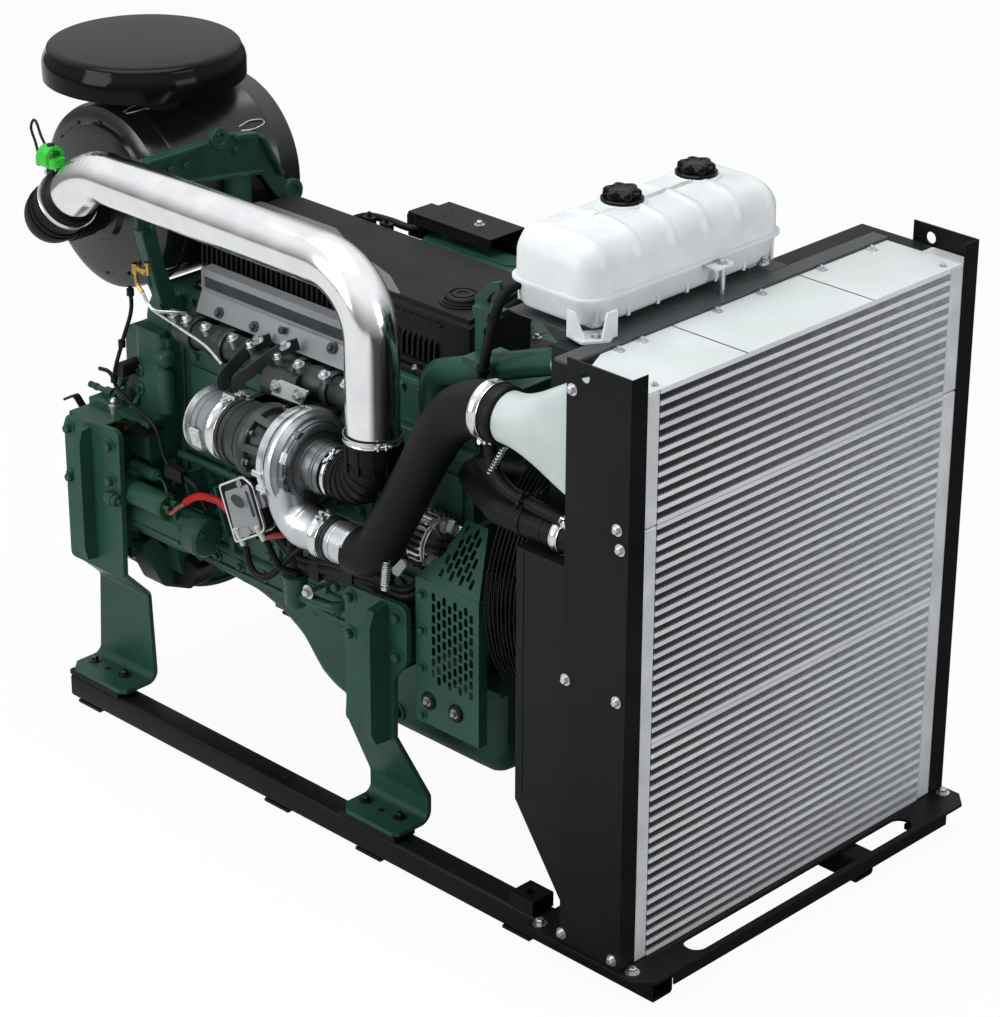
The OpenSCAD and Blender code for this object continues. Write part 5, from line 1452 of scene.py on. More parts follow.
def heat_shield():
    """The pressed sheet over the manifold: beads, a dark strip of painted shade for a recess, and its
    bolts.
    """
    refined("heat_shield", SHIELD, 0.8)
    x0, y0, z0, x1, y1, z1 = extent("heat_shield")
    beads = [block(x, x + 5, -198.6, -196, z0 + 52, z1 - 6) for x in (-1392, -1228, -1120)]
    beads += [block(x0 + 10, x1 - 10, -201, -198, z0 + 52, z0 + 57)]
    piece("shield_beads", SHIELD, beads, bevel=0.8)
    # Painted shade: a thin dark strip on the face stands for the shade in a recess.
    dark = [block(x0 + 12, x1 - 12, -199.6, -198, z0 + 60, z0 + 86)]
    piece("shield_recess_shade", CAST_IRON, dark)
    spots = [(-1449, -214, 1104), (-1329, -214, 1104), (-1075, -210, 1125)]
    piece("shield_bolts", GREY_COAT, bolts(spots, (0, -1, 0.4), 14))
    piece("shield_plug", GREEN_CAST, stud((-1233, -212, 1122), (0, -1, 0.4), 9, 9), smooth=40)


# ---- Rear of the engine: timing case, flywheel housing, starter ----

def dome(at, facing, r, height, sides=24):
    """A cast boss: a short drum with a rounded edge."""
    along = np.array(BOLT_AXIS[facing] if isinstance(facing, str) else unit(facing), float)
    return lathe([(-2, r + 3), (1, r + 1), (height - 0.25 * r, r), (height - 0.08 * r, 0.9 * r),
        (height, 0.72 * r)], at, along, sides)


def timing_case():
    """Cast case behind the block: a lower box with a ledge on top, and above it a tower with
    a rounded corner, a knob, a half-round rib and two recessed bolts."""
    x0, y0, z0, x1, y1, z1 = extent("timing_cover")
    shell = slab(soft([(y0 + 14, z0), (y0 + 4, z0 + 60), (y0 + 4, z1 - 50), (y0 + 40, z1),
        (y1 - 40, z1), (y1 - 4, z1 - 50), (y1 - 4, z0 + 60), (y1 - 14, z0)], 30), x0, x1, "x")
    sides = [block(x0, x1 + 2, -298, y0 + 12, 704, 800),
        slab(soft(rect(x0 - 20, x1 + 8, -306, -186), 8), 794, 806), block(x0 - 4, x1 + 4, y0, y0 + 12,
        640, 650), slab(rect(x0 - 20, x1 + 2, -250, y0 + 10, 20), 804, 1006),
        slab(soft([(x0 - 60, 806), (x0 - 60, 850), (x0 - 14, 930), (x0 + 10, 930), (x0 + 10, 806)], 6),
        -244, y0 + 6, "y"), lathe([(812, 10), (814, 20), (826, 23), (900, 23), (918, 20), (928, 10),
        (929, 2)], (x1 + 3, -240, 0), "z", 32),
        lathe([(926, 4), (930, 15), (938, 23), (950, 26), (962, 23), (970, 14), (973, 3)],
        (x1 + 4, -240, 0), "z", 32), slab(rect(x1 - 20, x1 + 9, -236, -150, 8), 806, 996),
        slab(soft(rect(x0 - 16, x1, -254, y0, 8), 3), 1000, 1012)]
    for x, z in ((x0 - 3, 898), (x0 - 3, 851)):
        sides.append(lathe([(-2, 17), (3, 17), (5, 14), (3, 12), (3, 4)], (x, -250, z), (0, -1, 0), 28))
    for z in (470, 540, 610, 672):
        sides.append(dome((x1 - 12, y0 + 4, z), "-y", 12, 9))
    piece("timing_case_near", GREEN_CAST, [shell] + sides, ["timing_cover"], bevel=3, smooth=45)
    piece("timing_case_far", GREEN_CAST, [mirrored(p) for p in sides], bevel=3, smooth=45)
    heads = bolts([(x0 - 3, -252, 898), (x0 - 3, -252, 851)], "-y", 12, washer=False)
    heads = joined(heads, bolts([(x1 - 12, y0 - 5, z) for z in (470, 540, 610, 672)], "-y", 15))
    piece("timing_case_bolts", GREEN_CAST, [heads, mirrored(heads)])


def flywheel_housing():
    """The bell housing: ledge, ribs, bosses and a bolt circle, alike on both sides."""
    refined("flywheel_housing", GREEN_CAST, 5, 3)
    x0, y0, z0, x1, y1, z1 = extent("flywheel_housing")
    cz = middle("flywheel")[2]
    ledge = [slab(soft([(y0 - 2, 742), (y0 - 2, 752), (-200, 775), (-196, 765)], 2), x0 + 14, x1 + 20,
        "x"), rod((0, -212, 700), "x", 10, x1 + 90, x1 + 300, 20)]
    ribs = [slab([(-300, 640), (-300, 780), (-226, 860), (-226, 640)], x, x + 12, "x")
        for x in (x0 + 60, x1 - 14)]
    ribs += [slab([(-285, 700), (-226, 700), (-190, 560), (-250, 560)], x, x + 10, "x")
        for x in (x1 + 60, x1 + 180, x1 + 290)]
    bosses = [dome((x, -300, z), "-y", 15, 12) for x, z in ((x0 + 30, 700), (x0 + 30, 610),
        (x0 + 30, 500))]
    bosses += [dome((x1 - 40, -268, z), "-y", 16, 14) for z in (880, 830)]
    ring = [dome(spot, "+x", 15, 34) for spot in ring_of(16, x0 + 40, 288, cz, 0.5)]
    trim = ledge + ribs + bosses
    piece("housing_ribs", GREEN_CAST, both(trim), bevel=2.5, smooth=45)
    piece("housing_lugs", GREEN_CAST, ring, bevel=1)
    piece("housing_bolts", GREEN_CAST, bolts(ring_of(16, x0 + 74, 288, cz, 0.5), "+x", 16))
    seam = [band((0, 0, cz), "x", 292, 303.5, x1 - 6, x1 + 8, 96), band((0, 0, cz), "x", 280, 302,
        x0 + 46, x0 + 52, 96)]
    lower = [slab(soft([(-300, 470), (-240, 340), (-150, 300), (-120, 330), (-200, 400), (-262, 480)],
        12), x1 - 30, x1 + 40, "x")]
    piece("housing_seams", GREEN_CAST, seam + both(lower), bevel=1.5, smooth=45)
    # Painted shade: a black slab under the housing stands for the shade there.
    under = [slab(soft([(x1 - 60, 350), (x1 - 20, 322), (x1 + 110, 348), (x1 + 112, 372),
        (x1 + 130, 405), (x1 + 40, 430), (x1 - 60, 430)], 8), -206, -150, "y")]
    piece("housing_underside_shade", BLACK_NYLON, under, bevel=3)


def flywheel():
    """Turned disc with a toothed ring: the rim's radius steps up and down for each tooth."""
    refined("flywheel", STEEL, 1.2)
    x0, y0, z0, x1, y1, z1 = extent("flywheel")
    cz = (z0 + z1) / 2
    teeth = 118

    def rim(t):
        return 1 + 0.011 * np.sign(np.sin(teeth * t + 0.4))

    piece("flywheel_teeth", STEEL, lathe([(x0 + 30, 228), (x0 + 31, 233), (x0 + 49, 233),
        (x0 + 50, 228)], (0, 0, cz), "x", teeth * 4, loop=True, lobes=rim), smooth=20)
    grooves = [band((0, 0, cz), "x", r - 2, r + 2, x0 - 1.5, x0 + 1, 72) for r in (150, 196)]
    piece("flywheel_turning", STEEL, grooves, bevel=0.6)
    spots = ring_of(8, x0 - 1, 60, cz)
    piece("flywheel_bolts", CAST_IRON, [lathe([(-1, 11), (7, 11), (8, 10), (8, 6), (3, 5)], p,
        (-1, 0, 0), 20) for p in spots])


def starter():
    """A yoke with flats and a domed front end, the solenoid and a relay above it, a nose with
    a lug, terminals and a copper lug on the battery cable."""
    x0, y0, z0, x1, y1, z1 = extent("starter_motor")
    y, z, r = -292, 565, 50
    yoke = [lathe([(x0 + 10, 30), (x0 + 10, r - 2), (x0 + 14, r), (x1 - 52, r), (x1 - 48, r - 3),
        (x1 - 48, 30)], (0, y, z), "x", 12), lathe([(x1 - 50, 30), (x1 - 50, r - 2), (x1 - 12, r - 2),
        (x1 - 4, r - 8), (x1 + 2, r - 24), (x1 + 3, 6)], (0, y, z), "x", 40),
        lathe([(x0, 30), (x0, 58), (x0 + 10, 62), (x0 + 24, 62), (x0 + 40, 54), (x0 + 60, 52),
        (x0 + 60, 30)], (0, y, z), "x", 40)]
    for a in (20, 62, 104, 146, 200, 260, 320):
        yoke.append(spun(block(x0 + 64, x1 - 54, y - 4, y + 4, z + r - 6, z + r + 2.5), (0, y, z), a))
    sy, sz = y - 40, z + 63
    yoke += [lathe([(-1692, 12), (-1692, 24), (-1686, 29), (-1632, 29), (-1630, 27), (-1627, 27),
        (-1625, 30), (-1524, 30), (-1518, 26), (-1516, 6)], (0, sy, sz), "x", 36),
        slab(soft(rect(-1690, -1560, z + 30, sz, 6), 6), sy - 6, y + 20, "y"),
        lathe([(-1698, 4), (-1694, 13), (-1684, 19), (-1640, 19), (-1638, 16), (-1600, 16),
        (-1597, 11), (-1591, 11), (-1590, 4)], (0, y, 668), "x", 28),
        slab(soft(rect(-1682, -1644, sz + 8, 668), 4), sy + 6, y + 12, "y"),
        slab(soft(rect(-1690, -1640, 600, 640), 8), -372, -320, "y")]
    for size, low in ((15, -1676), (17, -1662), (14, -1650)):
        yoke.append(lathe([(0, size - 2), (2, size), (11, size), (13, size - 2), (13, 3)],
            (low, -385, 622), "x", 24))
    piece("starter_body", GREEN_CAST, yoke, ["starter_motor"], bevel=1.6, smooth=25)
    small = [bolt((-1637, -385, 622), "+x", 14), bolt((x1 + 1, y - 22, z + 18), "+x", 9),
        bolt((x1 + 1, y + 18, z - 22), "+x", 9), stud((-1518, sy - 12, sz + 6), "+x", 6, 20),
        stud((-1518, sy + 10, sz + 12), "+x", 6, 20), stud((-1590, y - 4, 668), "+x", 4, 14)]
    piece("starter_bolts", GREEN_CAST, small)
    lug = [band((-1507, -336, 626), "x", 5, 12, 0, 4, 20),
        cord([(-1503, -340, 624), (-1489, -344, 627), (-1466, -346, 648), (-1440, -344, 668)], 6.5, 10, 6)]
    piece("copper_lug", COPPER, lug, smooth=50)
    link = cord([(-1516, sy + 10, sz + 12), (-1500, sy + 4, sz - 4), (-1500, sy + 10, sz - 34)], 5, 10, 6)
    wire = cord([(-1586, y - 4, 668), (-1560, y - 14, 668), (-1530, y - 24, 640),
        (-1512, y - 30, 652)], 3, 8, 6)
    piece("starter_link", GREEN_CAST, [link, wire], smooth=50)
    red = cord([(-1444, -340, 668), (-1420, -336, 686), (-1396, -332, 697), (-1360, -328, 701),
        (-1337, -324, 698), (-1296, -320, 676), (-1270, -300, 650)], 9, 16)
    piece("battery_cable", RED_SHEATH, red, smooth=60)


# ---- Feet ----

def fold_foot(name, corners, z_marks, left, right, plate, rib, spots, nodes, flange_spots, hole):
    """A bent foot: the strap with its two folds, the upper plate with a standing rib, and
    its bolts. The far foot is the near one mirrored."""
    path = arc_path([(0, y, z) for y, z in corners], 26, 6, 12)[:, 1:]
    gone = gone_along(path)
    rise = np.where(gone < 60, corners[0][1], path[:, 1])
    x0, x1 = np.interp(rise, z_marks, left), np.interp(rise, z_marks, right)
    x0 = x0 + 24 * np.clip(1 - gone / 24, 0, 1)
    x1 = x1 - 16 * np.clip(1 - gone / 16, 0, 1) ** 2
    parts = [strap(path, x0, x1, 11)]
    parts.append(slab(soft(plate, 14), corners[-1][0] - 7, corners[-1][0] + 7, "y"))
    (rib_x0, rib_x1), rib_outline = rib
    parts.append(slab(rib_outline, rib_x0, rib_x1, "x"))
    solid = joined(*parts)
    for side, node, mirror in zip(("near", "far"), nodes, (False, True)):
        piece(f"{name}_{side}", GREEN_PLATE, mirrored(solid) if mirror else solid, [node], bevel=2.2,
            smooth=40)
        y = corners[-1][0] - 6
        heads = joined(*[bolt((x, y, z), "-y", 20) for x, z in spots])
        piece(f"{name}_bolts_{side}", GREEN_PLATE, mirrored(heads) if mirror else heads, bevel=0.8)
        low = bolts([(x, yy, 94) for x, yy in flange_spots], "+z", 17)
        piece(f"{name}_flange_bolts_{side}", STEEL_DARK, mirrored(low) if mirror else low)
        mark = rod((hole[0], hole[1], 0), "z", 8, 93.8, 94.4, 24)
        piece(f"{name}_hole_{side}", RUBBER, mirrored(mark) if mirror else mark)


def feet():
    """A front and a rear foot on each side, their arms to the block, and the pads."""
    fold_foot("front_foot", [(-370, 88), (-264, 88), (-264, 150), (-369, 345), (-369, 360)],
        [88, 150, 345, 360], [-905, -905, -868, -868], [-716, -716, -714, -714],
        [(-870, 336), (-866, 392), (-866, 640), (-858, 674), (-684, 684), (-670, 672), (-670, 548),
        (-712, 496), (-714, 336)], ((-751, -728), [(-372, 334), (-417, 338), (-431, 368), (-431, 634),
        (-417, 666), (-372, 674)]), [(-846, 650), (-848, 559), (-697, 651), (-697, 556)],
        ("front_foot_left", "front_foot_right"), [(-876, -312), (-766, -311)], (-819, -317))
    fold_foot("rear_foot", [(-370, 88), (-264, 88), (-264, 318), (-369, 420), (-369, 436)],
        [88, 318, 420, 436], [-1880, -1866, -1838, -1836], [-1672, -1684, -1640, -1640],
        [(-1838, 410), (-1838, 765), (-1822, 787), (-1644, 796), (-1634, 786), (-1636, 600),
        (-1640, 410)], ((-1760, -1736), [(-372, 436), (-404, 441), (-413, 471), (-413, 746),
        (-404, 776), (-372, 781)]), [(-1818, 752), (-1820, 625), (-1668, 752), (-1670, 662)],
        ("rear_foot_left", "rear_foot_right"), [(-1850, -312), (-1738, -311)], (-1793, -317))
    arms = []
    arms.append(block(-850, -690, -366, -198, 520, 532))
    arms.append(block(-850, -690, -366, -198, 608, 620))
    arms += [block(x, x + 14, -366, -198, 522, 618) for x in (-850, -777, -704)]
    arms.append(block(-1830, -1702, -366, -298, 440, 454))
    arms.append(block(-1830, -1702, -366, -298, 776, 790))
    arms += [block(x, x + 14, -366, -298, 442, 788) for x in (-1830, -1773, -1716)]
    piece("foot_arms", GREEN_CAST, both(arms), bevel=2.5)
    refined("foot_pads", RUBBER, 2.5)


# ---- Belt guard and sump ----

def slot_field(columns, first, pitch, rows, size, step, rise=0.0):
    """Staggered upright slots: every other column is half a step lower."""
    field = []
    for k in range(columns):
        x = first[0] + k * pitch
        z = first[1] - (k % 2) * step / 2 + rise * k
        for row in range(rows):
            top = z - row * step
            field.append(rect(x, x + size[0], top - size[1], top, size[0] * 0.3, 2))
    return field


def belt_guard():
    """A slotted plate whose upper part leans back, with rubber buffers low down."""
    x0, y0, z0, x1, y1, z1 = extent("belt_guard")
    top = 754
    face = slab(rect(x0, x1, z0, top + 2, 4, 3), y0, y0 + 3, "y", slot_field(8, (x0 + 50, 732), 16.5,
        8, (10.5, 20.5), 26.5))
    slope = math.degrees(math.atan2(91, 127))
    length = math.hypot(91, 127)
    rise = length / 127
    lean = [(x0, top), (x1, top), (x1 - 62, top + length), (x0 + 67, top + length),
        (x0 + 50, top + 57 * rise), (x0 + 6, top + 9 * rise)]
    slots = [hole for hole in slot_field(9, (x0 + 44, top + length - 10), 15.0, 5, (9.5, 23), 29.5)
        if hole[:, 1].min() > top + 12 and hole[:, 0].min() > np.interp(hole[:, 1].max(),
        [top, top + 57 * rise, top + length], [x0 + 4, x0 + 54, x0 + 71]) and hole[:, 0].max() < x1 - 8
        - 62 * (hole[:, 1].max() - top) / length]
    lean = spun(slab(lean, y0, y0 + 3, "y", slots), (0, y0, top), -slope)
    edges = [block(x0, x0 + 3, y0 + 1, y0 + 26, z0, top), block(x1 - 3, x1, y0 + 1, y0 + 26, z0, top),
        block(x0 + 2, x0 + 22, y0 + 2, -200, 460, 484)]
    piece("belt_guard_sheet", GREEN_PLATE, [face, lean] + edges, ["belt_guard"], bevel=0.6, segments=1)
    small = bolts([(x0 + 22, y0, z) for z in (718, 632, 540, 423)], "-y", 14)
    piece("belt_guard_bolts", GREEN_PLATE, small)
    rubber_spots = [(-626, y0, 464), (-542, y0, 465)]
    piece("belt_guard_buffers", RUBBER, [lathe([(-2, 21), (3, 21), (6, 18), (6, 8)], p, (0, -1, 0), 32)
        for p in rubber_spots], smooth=40)
    piece("belt_guard_buffer_bolts", STEEL, bolts([(x, y - 5, z) for x, y, z in rubber_spots], "-y", 12))


def oil_sump():
    """A tray whose floor drops along a smooth curve: each cross-section is a rectangle with
    round lower corners, its depth read from the curve."""
    x0, y0, z0, x1, y1, z1 = extent("oil_sump")
    low = z1 - 14
    drop_x = np.array([x0 + 15, x0 + 40, -1377, -1294, -1226, -1165, -1130, -1070, -1000, -640])
    drop_z = np.array([low - 12, low - 20, z1 - 47, z1 - 78, z1 - 132, z0 + 43, z0 + 22, z0 + 6, z0, z0])
    xs = np.concatenate([np.linspace(x0 + 15, -1000, 30), np.linspace(-960, -650, 6),
        x1 - 10 - 62 * (1 - np.sin(np.linspace(0.15, np.pi / 2, 8)))])
    t = np.linspace(0, np.pi / 2, 7)
    rings = []
    for x in xs:
        floor = np.interp(x, drop_x, drop_z)
        end = max(0.0, (x - (x1 - 72)) / 62)
        floor = floor + 58 * (1 - math.sqrt(max(0.0, 1 - end ** 2)))
        r = min(52, max(6.0, (low - floor) * 0.45))
        half = 183 - 18 * end ** 3
        right = [(half - r + r * math.cos(a), floor + r - r * math.sin(a)) for a in t]
        left = [(-y, z) for y, z in reversed(right)]
        rings.append([(x, y, z) for y, z in [(half, low + 2)] + right + left + [(-half, low + 2)]])
    tray = skin(np.array(rings))
    flange = slab(soft(rect(x0, x1, y0, y1), 16), low, z1)
    piece("sump_tray", GREEN_CAST, [tray, flange], ["oil_sump"], bevel=2, smooth=50)
    spots = [(x, y, low) for x in np.linspace(x0 + 30, x1 - 30, 13) for y in (y0 + 11, y1 - 11)]
    piece("sump_bolts", GREEN_CAST, bolts(spots, "-z", 13))
    plug = [bolt((-900, -184, z0 + 60), "-y", 24), bolt((-760, 0, z0), "-z", 24, height=6)]
    piece("sump_plugs", GREEN_CAST, plug)
    ribs = [slab([(-205, low), (-184, low), (-184, low - 70)], x, x + 8, "x") for x in (-1010, -930, -640)]
    piece("sump_ribs", GREEN_CAST, both(ribs), bevel=1)


# ---- Block and head ----

def block_side():
    """Cast detail of one side of the block, for both sides."""
    x0, y0, z0, x1, y1, z1 = extent("cylinder_block")
    bay = (x1 - x0 - 20) / 6
    parts = []
    for k in range(6):
        x = x0 + 20 + bay * k
        mid = x + bay / 2 - 10
        parts.append(lathe([(-2, 31), (5, 31), (7, 28), (6, 24), (3, 22), (3, 5)], (mid, y0 + 12, 590),
            (0, -1, 0), 32))
        parts.append(slab(soft(rect(x + 12, x + bay - 32, 660, 700), 10), y0 + 4, y0 + 14, "y"))
        parts.append(slab(soft(rect(x + 20, x + bay - 40, 790, 930), 16), y0 + 6, y0 + 14, "y"))
        for dx, z in ((24, 520), (bay - 44, 520), (30, 745), (bay - 50, 745), (34, 955)):
            parts.append(dome((x + dx, y0 + 12, z), "-y", 11, 12))
        parts.append(block(x + 4, x + bay - 24, y0 + 2, y0 + 13, 628, 636))
        parts.append(block(x + 4, x + bay - 24, y0 + 5, y0 + 13, 548, 554))
    rail = np.linspace(x0 + 10, x1 - 10, 3)
    parts.append(tube(np.stack([rail, np.full(3, y0 + 14), np.full(3, 722)], 1), 18, 24))
    parts.append(tube(np.stack([rail, np.full(3, y0 + 14), np.full(3, 486)], 1), 14, 24))
    return parts


def engine_block():
    """The block with its cast sides, the head over it and the front cover."""
    refined("cylinder_block", GREEN_CAST, 3.5, 3, corners=6)
    x0, y0, z0, x1, y1, z1 = extent("cylinder_block")
    parts = block_side()
    piece("block_near_side", GREEN_CAST, parts, bevel=2, smooth=45)
    piece("block_far_side", GREEN_CAST, [mirrored(p) for p in parts], bevel=2, smooth=45)
    spots = [(x, y0 - 1, 465) for x in np.arange(x0 + 40, x1, 82.0)]
    spots += [(x, y0, 985) for x in np.arange(x0 + 60, x1, 95.0)]
    heads = bolts(spots, "-y", 15)
    piece("block_bolts", GREEN_CAST, [heads, mirrored(heads)])
    refined("cylinder_head", GREEN_CAST, 4, 3)
    hx0, hy0, hz0, hx1, _, hz1 = extent("cylinder_head")
    strip = [block(hx0 + 6, hx1 - 6, hy0 - 6, hy0 + 4, hz1 - 16, hz1 - 4),
        block(hx0 + 6, hx1 - 6, hy0 - 4, hy0 + 4, hz0 + 2, hz0 + 12)]
    for x in np.arange(hx0 + 40, hx1 - 20, 54.0):
        strip.append(slab([(hy0 - 12, hz1 - 16), (hy0, hz1 - 4), (hy0, hz0 + 70)], x, x + 9, "x"))
    piece("head_ribs", GREEN_CAST, both(strip), bevel=1.2)
    front = [dome((x1, y, z), "+x", 13, 10) for y, z in ((-150, 940), (150, 940), (-160, 700),
        (160, 700), (-150, 520), (150, 520))]
    front += [slab(soft(rect(-172, 172, 480, 940), 40), x1 - 2, x1 + 6, "x")]
    front += [dome((hx1, y, 1056), "+x", 12, 8) for y in (-130, -40, 60, 140)]
    piece("block_front_cover", GREEN_CAST, front, bevel=2, smooth=45)


def alternator():
    """Two cast end frames with slots and fan openings round a laminated core; the slots are black blocks of
    painted shade.
    """
    x0, y0, z0, x1, y1, z1 = extent("alternator")
    y, z, r = y0 + 66, z0 + 66, 65.5
    front = -670
    rear = front - 118
    cast = [lathe([(rear, 12), (rear, r - 12), (rear + 8, r - 3), (rear + 14, r - 1),
        (rear + 44, r - 1), (rear + 44, 30)], (0, y, z), "x", 48),
        lathe([(front - 44, 30), (front - 44, r - 1), (front - 12, r - 1), (front - 4, r - 6),
        (front, r - 18), (front, 12)], (0, y, z), "x", 48)]
    slots, bits = [], []
    for s, (low, high) in enumerate(((rear + 6, rear + 40), (front - 40, front - 6))):
        for k in range(26):
            a = k * 360 / 26 + 7 * s
            slots.append(spun(block(low, high, y - 3.4, y + 3.4, z + r - 12, z + r + 0.6), (0, y, z), a))
            if s:
                bits.append(spun(block(low + 10, high - 14 + 6 * (k % 2), y - 1.4, y + 1.4, z + r - 4,
                    z + r + 1), (0, y, z), a + 0.8))
    for a in (20, 200):
        cast.append(turned(rod((0, y, z + r - 6), "x", 12, rear + 10, front - 4, 20), (0, y, z),
            (1, 0, 0), a))
    piece("alternator_frames", CAST_ALU, cast, ["alternator"], bevel=0.8, smooth=40)
    dark = [rod((0, y, z), "x", r - 7, rear + 8, front - 6, 40)]
    dark += [block(-760, -700, y + 20, -198, z - 44, z + 34)]
    piece("alternator_core", CAST_IRON, dark)
    # Painted shade: black blocks over the frames stand for the shade inside their slots.
    piece("alternator_slot_shade", BLACK_NYLON, slots)
    piece("alternator_bits", COPPER, bits)
    wind = []
    for k in range(20):
        for x in (rear + 48, front - 66):
            wind.append(spun(rod((0, y, z + r - 6), "x", 5.5, x, x + 16, 10), (0, y, z), k * 18.0))
    piece("alternator_windings", COPPER, wind, smooth=40)
    belt_low, belt_high = near("drive_belt")
    wheel = [grooved(30, belt_low[0] - 4, belt_high[0] + 4, (0, y, z), 6, 3),
        rod((0, y, z), "x", 12, front - 2, belt_high[0] + 4, 24), rod((0, y, z), "x", 14, belt_high[0]
        + 2, belt_high[0] + 4, 6)]
    fan_plate = lathe([(front + 1, 20), (front + 1, 58), (front + 3, 60), (front + 5, 58),
        (front + 5, 20)], (0, y, z), "x", 40)
    blades = [spun(block(front + 4, front + 14, y - 1, y + 1, z + 30, z + 58), (0, y, z), k * 30.0)
        for k in range(12)]
    piece("alternator_pulley", BLACK_COAT, wheel, bevel=0.5)
    piece("alternator_fan", ZINC, [fan_plate] + blades, bevel=0.5)


# ---- Pipes, cables and small parts ----

def coolant():
    """The coolant pipe and hose, and the thin vent hose, with their clamps."""
    refined("coolant_pipe", GREEN_PLATE, 0, smooth=50)
    refined("coolant_hose", RUBBER, 0, smooth=50)
    x0, y0, z0, x1, y1, z1 = extent("coolant_pipe")
    rings = [band((x1 - 30, -240, 1318), "x", 29, 32, -2, 2, 40), band((-724, -194, 1060), "y", 31, 44,
        -6, 6, 6)]
    piece("coolant_pipe_beads", GREEN_PLATE, rings, bevel=0.6)
    piece("coolant_clamps", STAINLESS, [clamp((-218, -361, 1006), (1, 0, 0), 34.5, 22, (0, 0.3, -1),
        20), clamp((-340, -240, 1318), (1, 0, 0), 30, 13, (0, -0.3, 1))], smooth=40)
    small = [cord([(-436, -350, 1200), (-431, -362, 1150), (-408, -370, 1092), (-362, -373, 1064),
        (-317, -373, 1056), (-250, -372, 1049), (-170, -370, 1043)], 15, 20, 10)]
    piece("vent_hose", RUBBER, small, smooth=60)
    dark = [clamp((-317, -373, 1056), (1, 0, -0.1), 15.5, 12, (0, -1, 0.5)),
        lathe([(-5, 30), (-5, 35), (-3, 37), (3, 37), (5, 35), (5, 30)], (-322, -361, 1006), "x", 40,
        loop=True), band((-262, -361, 1006), "x", 30, 35, -3, 3, 40)]
    piece("hose_ties", BLACK_NYLON, dark, smooth=40)
    piece("vent_hose_clamps", STAINLESS, [clamp((-197, -370, 1045), (1, -0.02, -0.05), 16, 13,
        (0, -0.5, 1))], smooth=40)


def sensor_box():
    """A gauge in a thin bright frame, tilted: a pale insert with an oval dial, two tube feet
    below it, and their leads."""
    y0, y1 = -440, -402
    outline = soft([(-1207, 823), (-1124, 872), (-1091, 861), (-1052, 764), (-1069, 746), (-1155, 696)], 9)
    centre = outline.mean(0)

    def ring(scale):
        return centre + (outline - centre) * scale

    rim = [slab(outline, y0, y0 + 6, "y", [ring(0.93)]), slab(outline, y1 - 6, y1, "y", [ring(0.9)])]
    piece("sensor_frame", STAINLESS, rim, bevel=1.2)
    piece("sensor_body", BLACK_NYLON, slab(ring(0.95), y0 + 5, y1, "y"), bevel=1.5)
    insert = soft([(-1187, 812), (-1108, 857), (-1066, 757), (-1151, 706)], 6)
    mid = insert.mean(0)
    dial = np.array([mid + (-12, 22) + (24 * math.cos(a), 15 * math.sin(a)) for a in round_steps(24)])
    centre2 = dial.mean(0)
    face = [slab(insert, y0 + 1, y0 + 8, "y"), slab(centre2 + (dial - centre2) * 1.2, y0 - 1, y0 + 3,
        "y", [dial]), slab(soft([(-1140, 735), (-1110, 752), (-1096, 742), (-1118, 720)], 4), y0 - 2,
        y0 + 3, "y")]
    piece("sensor_face", SHIELD, face, bevel=1)
    marks = [slab(dial, y0 - 0.5, y0 + 1.8, "y"),
        slab(soft([(-1117, 838), (-1108, 836), (-1084, 786), (-1092, 782)], 2), y0 - 0.6, y0 + 2, "y")]
    piece("sensor_marks", CAST_IRON, marks, bevel=0.4)
    legs = [tube([(-1150, y0 - 2, 735), (-1140, y0 + 12, 694)], 7, 20),
        tube([(-1078, y0 - 2, 764), (-1070, y0 + 12, 730)], 7, 20)]
    piece("sensor_legs", ZINC_SHEET, legs, smooth=60)
    loop = [cord([(-1139, y0 + 20, 684), (-1130, y0 + 18, 650), (-1108, y0 + 20, 628),
        (-1072, y0 + 30, 634), (-1030, y0 + 60, 690), (-1000, y0 + 90, 724)], 8, 14),
        cord([(-1070, y0 + 20, 722), (-1060, y0 + 28, 690), (-1048, y0 + 40, 660),
        (-1030, y0 + 70, 640)], 8, 14)]
    piece("sensor_leads", BLACK_NYLON, loop, smooth=60)
    arm = [block(-1160, -1120, y1 - 2, -200, 752, 760), block(-1132, -1126, y1, -200, 700, 760)]
    piece("sensor_arm", CAST_IRON, arm, bevel=1)


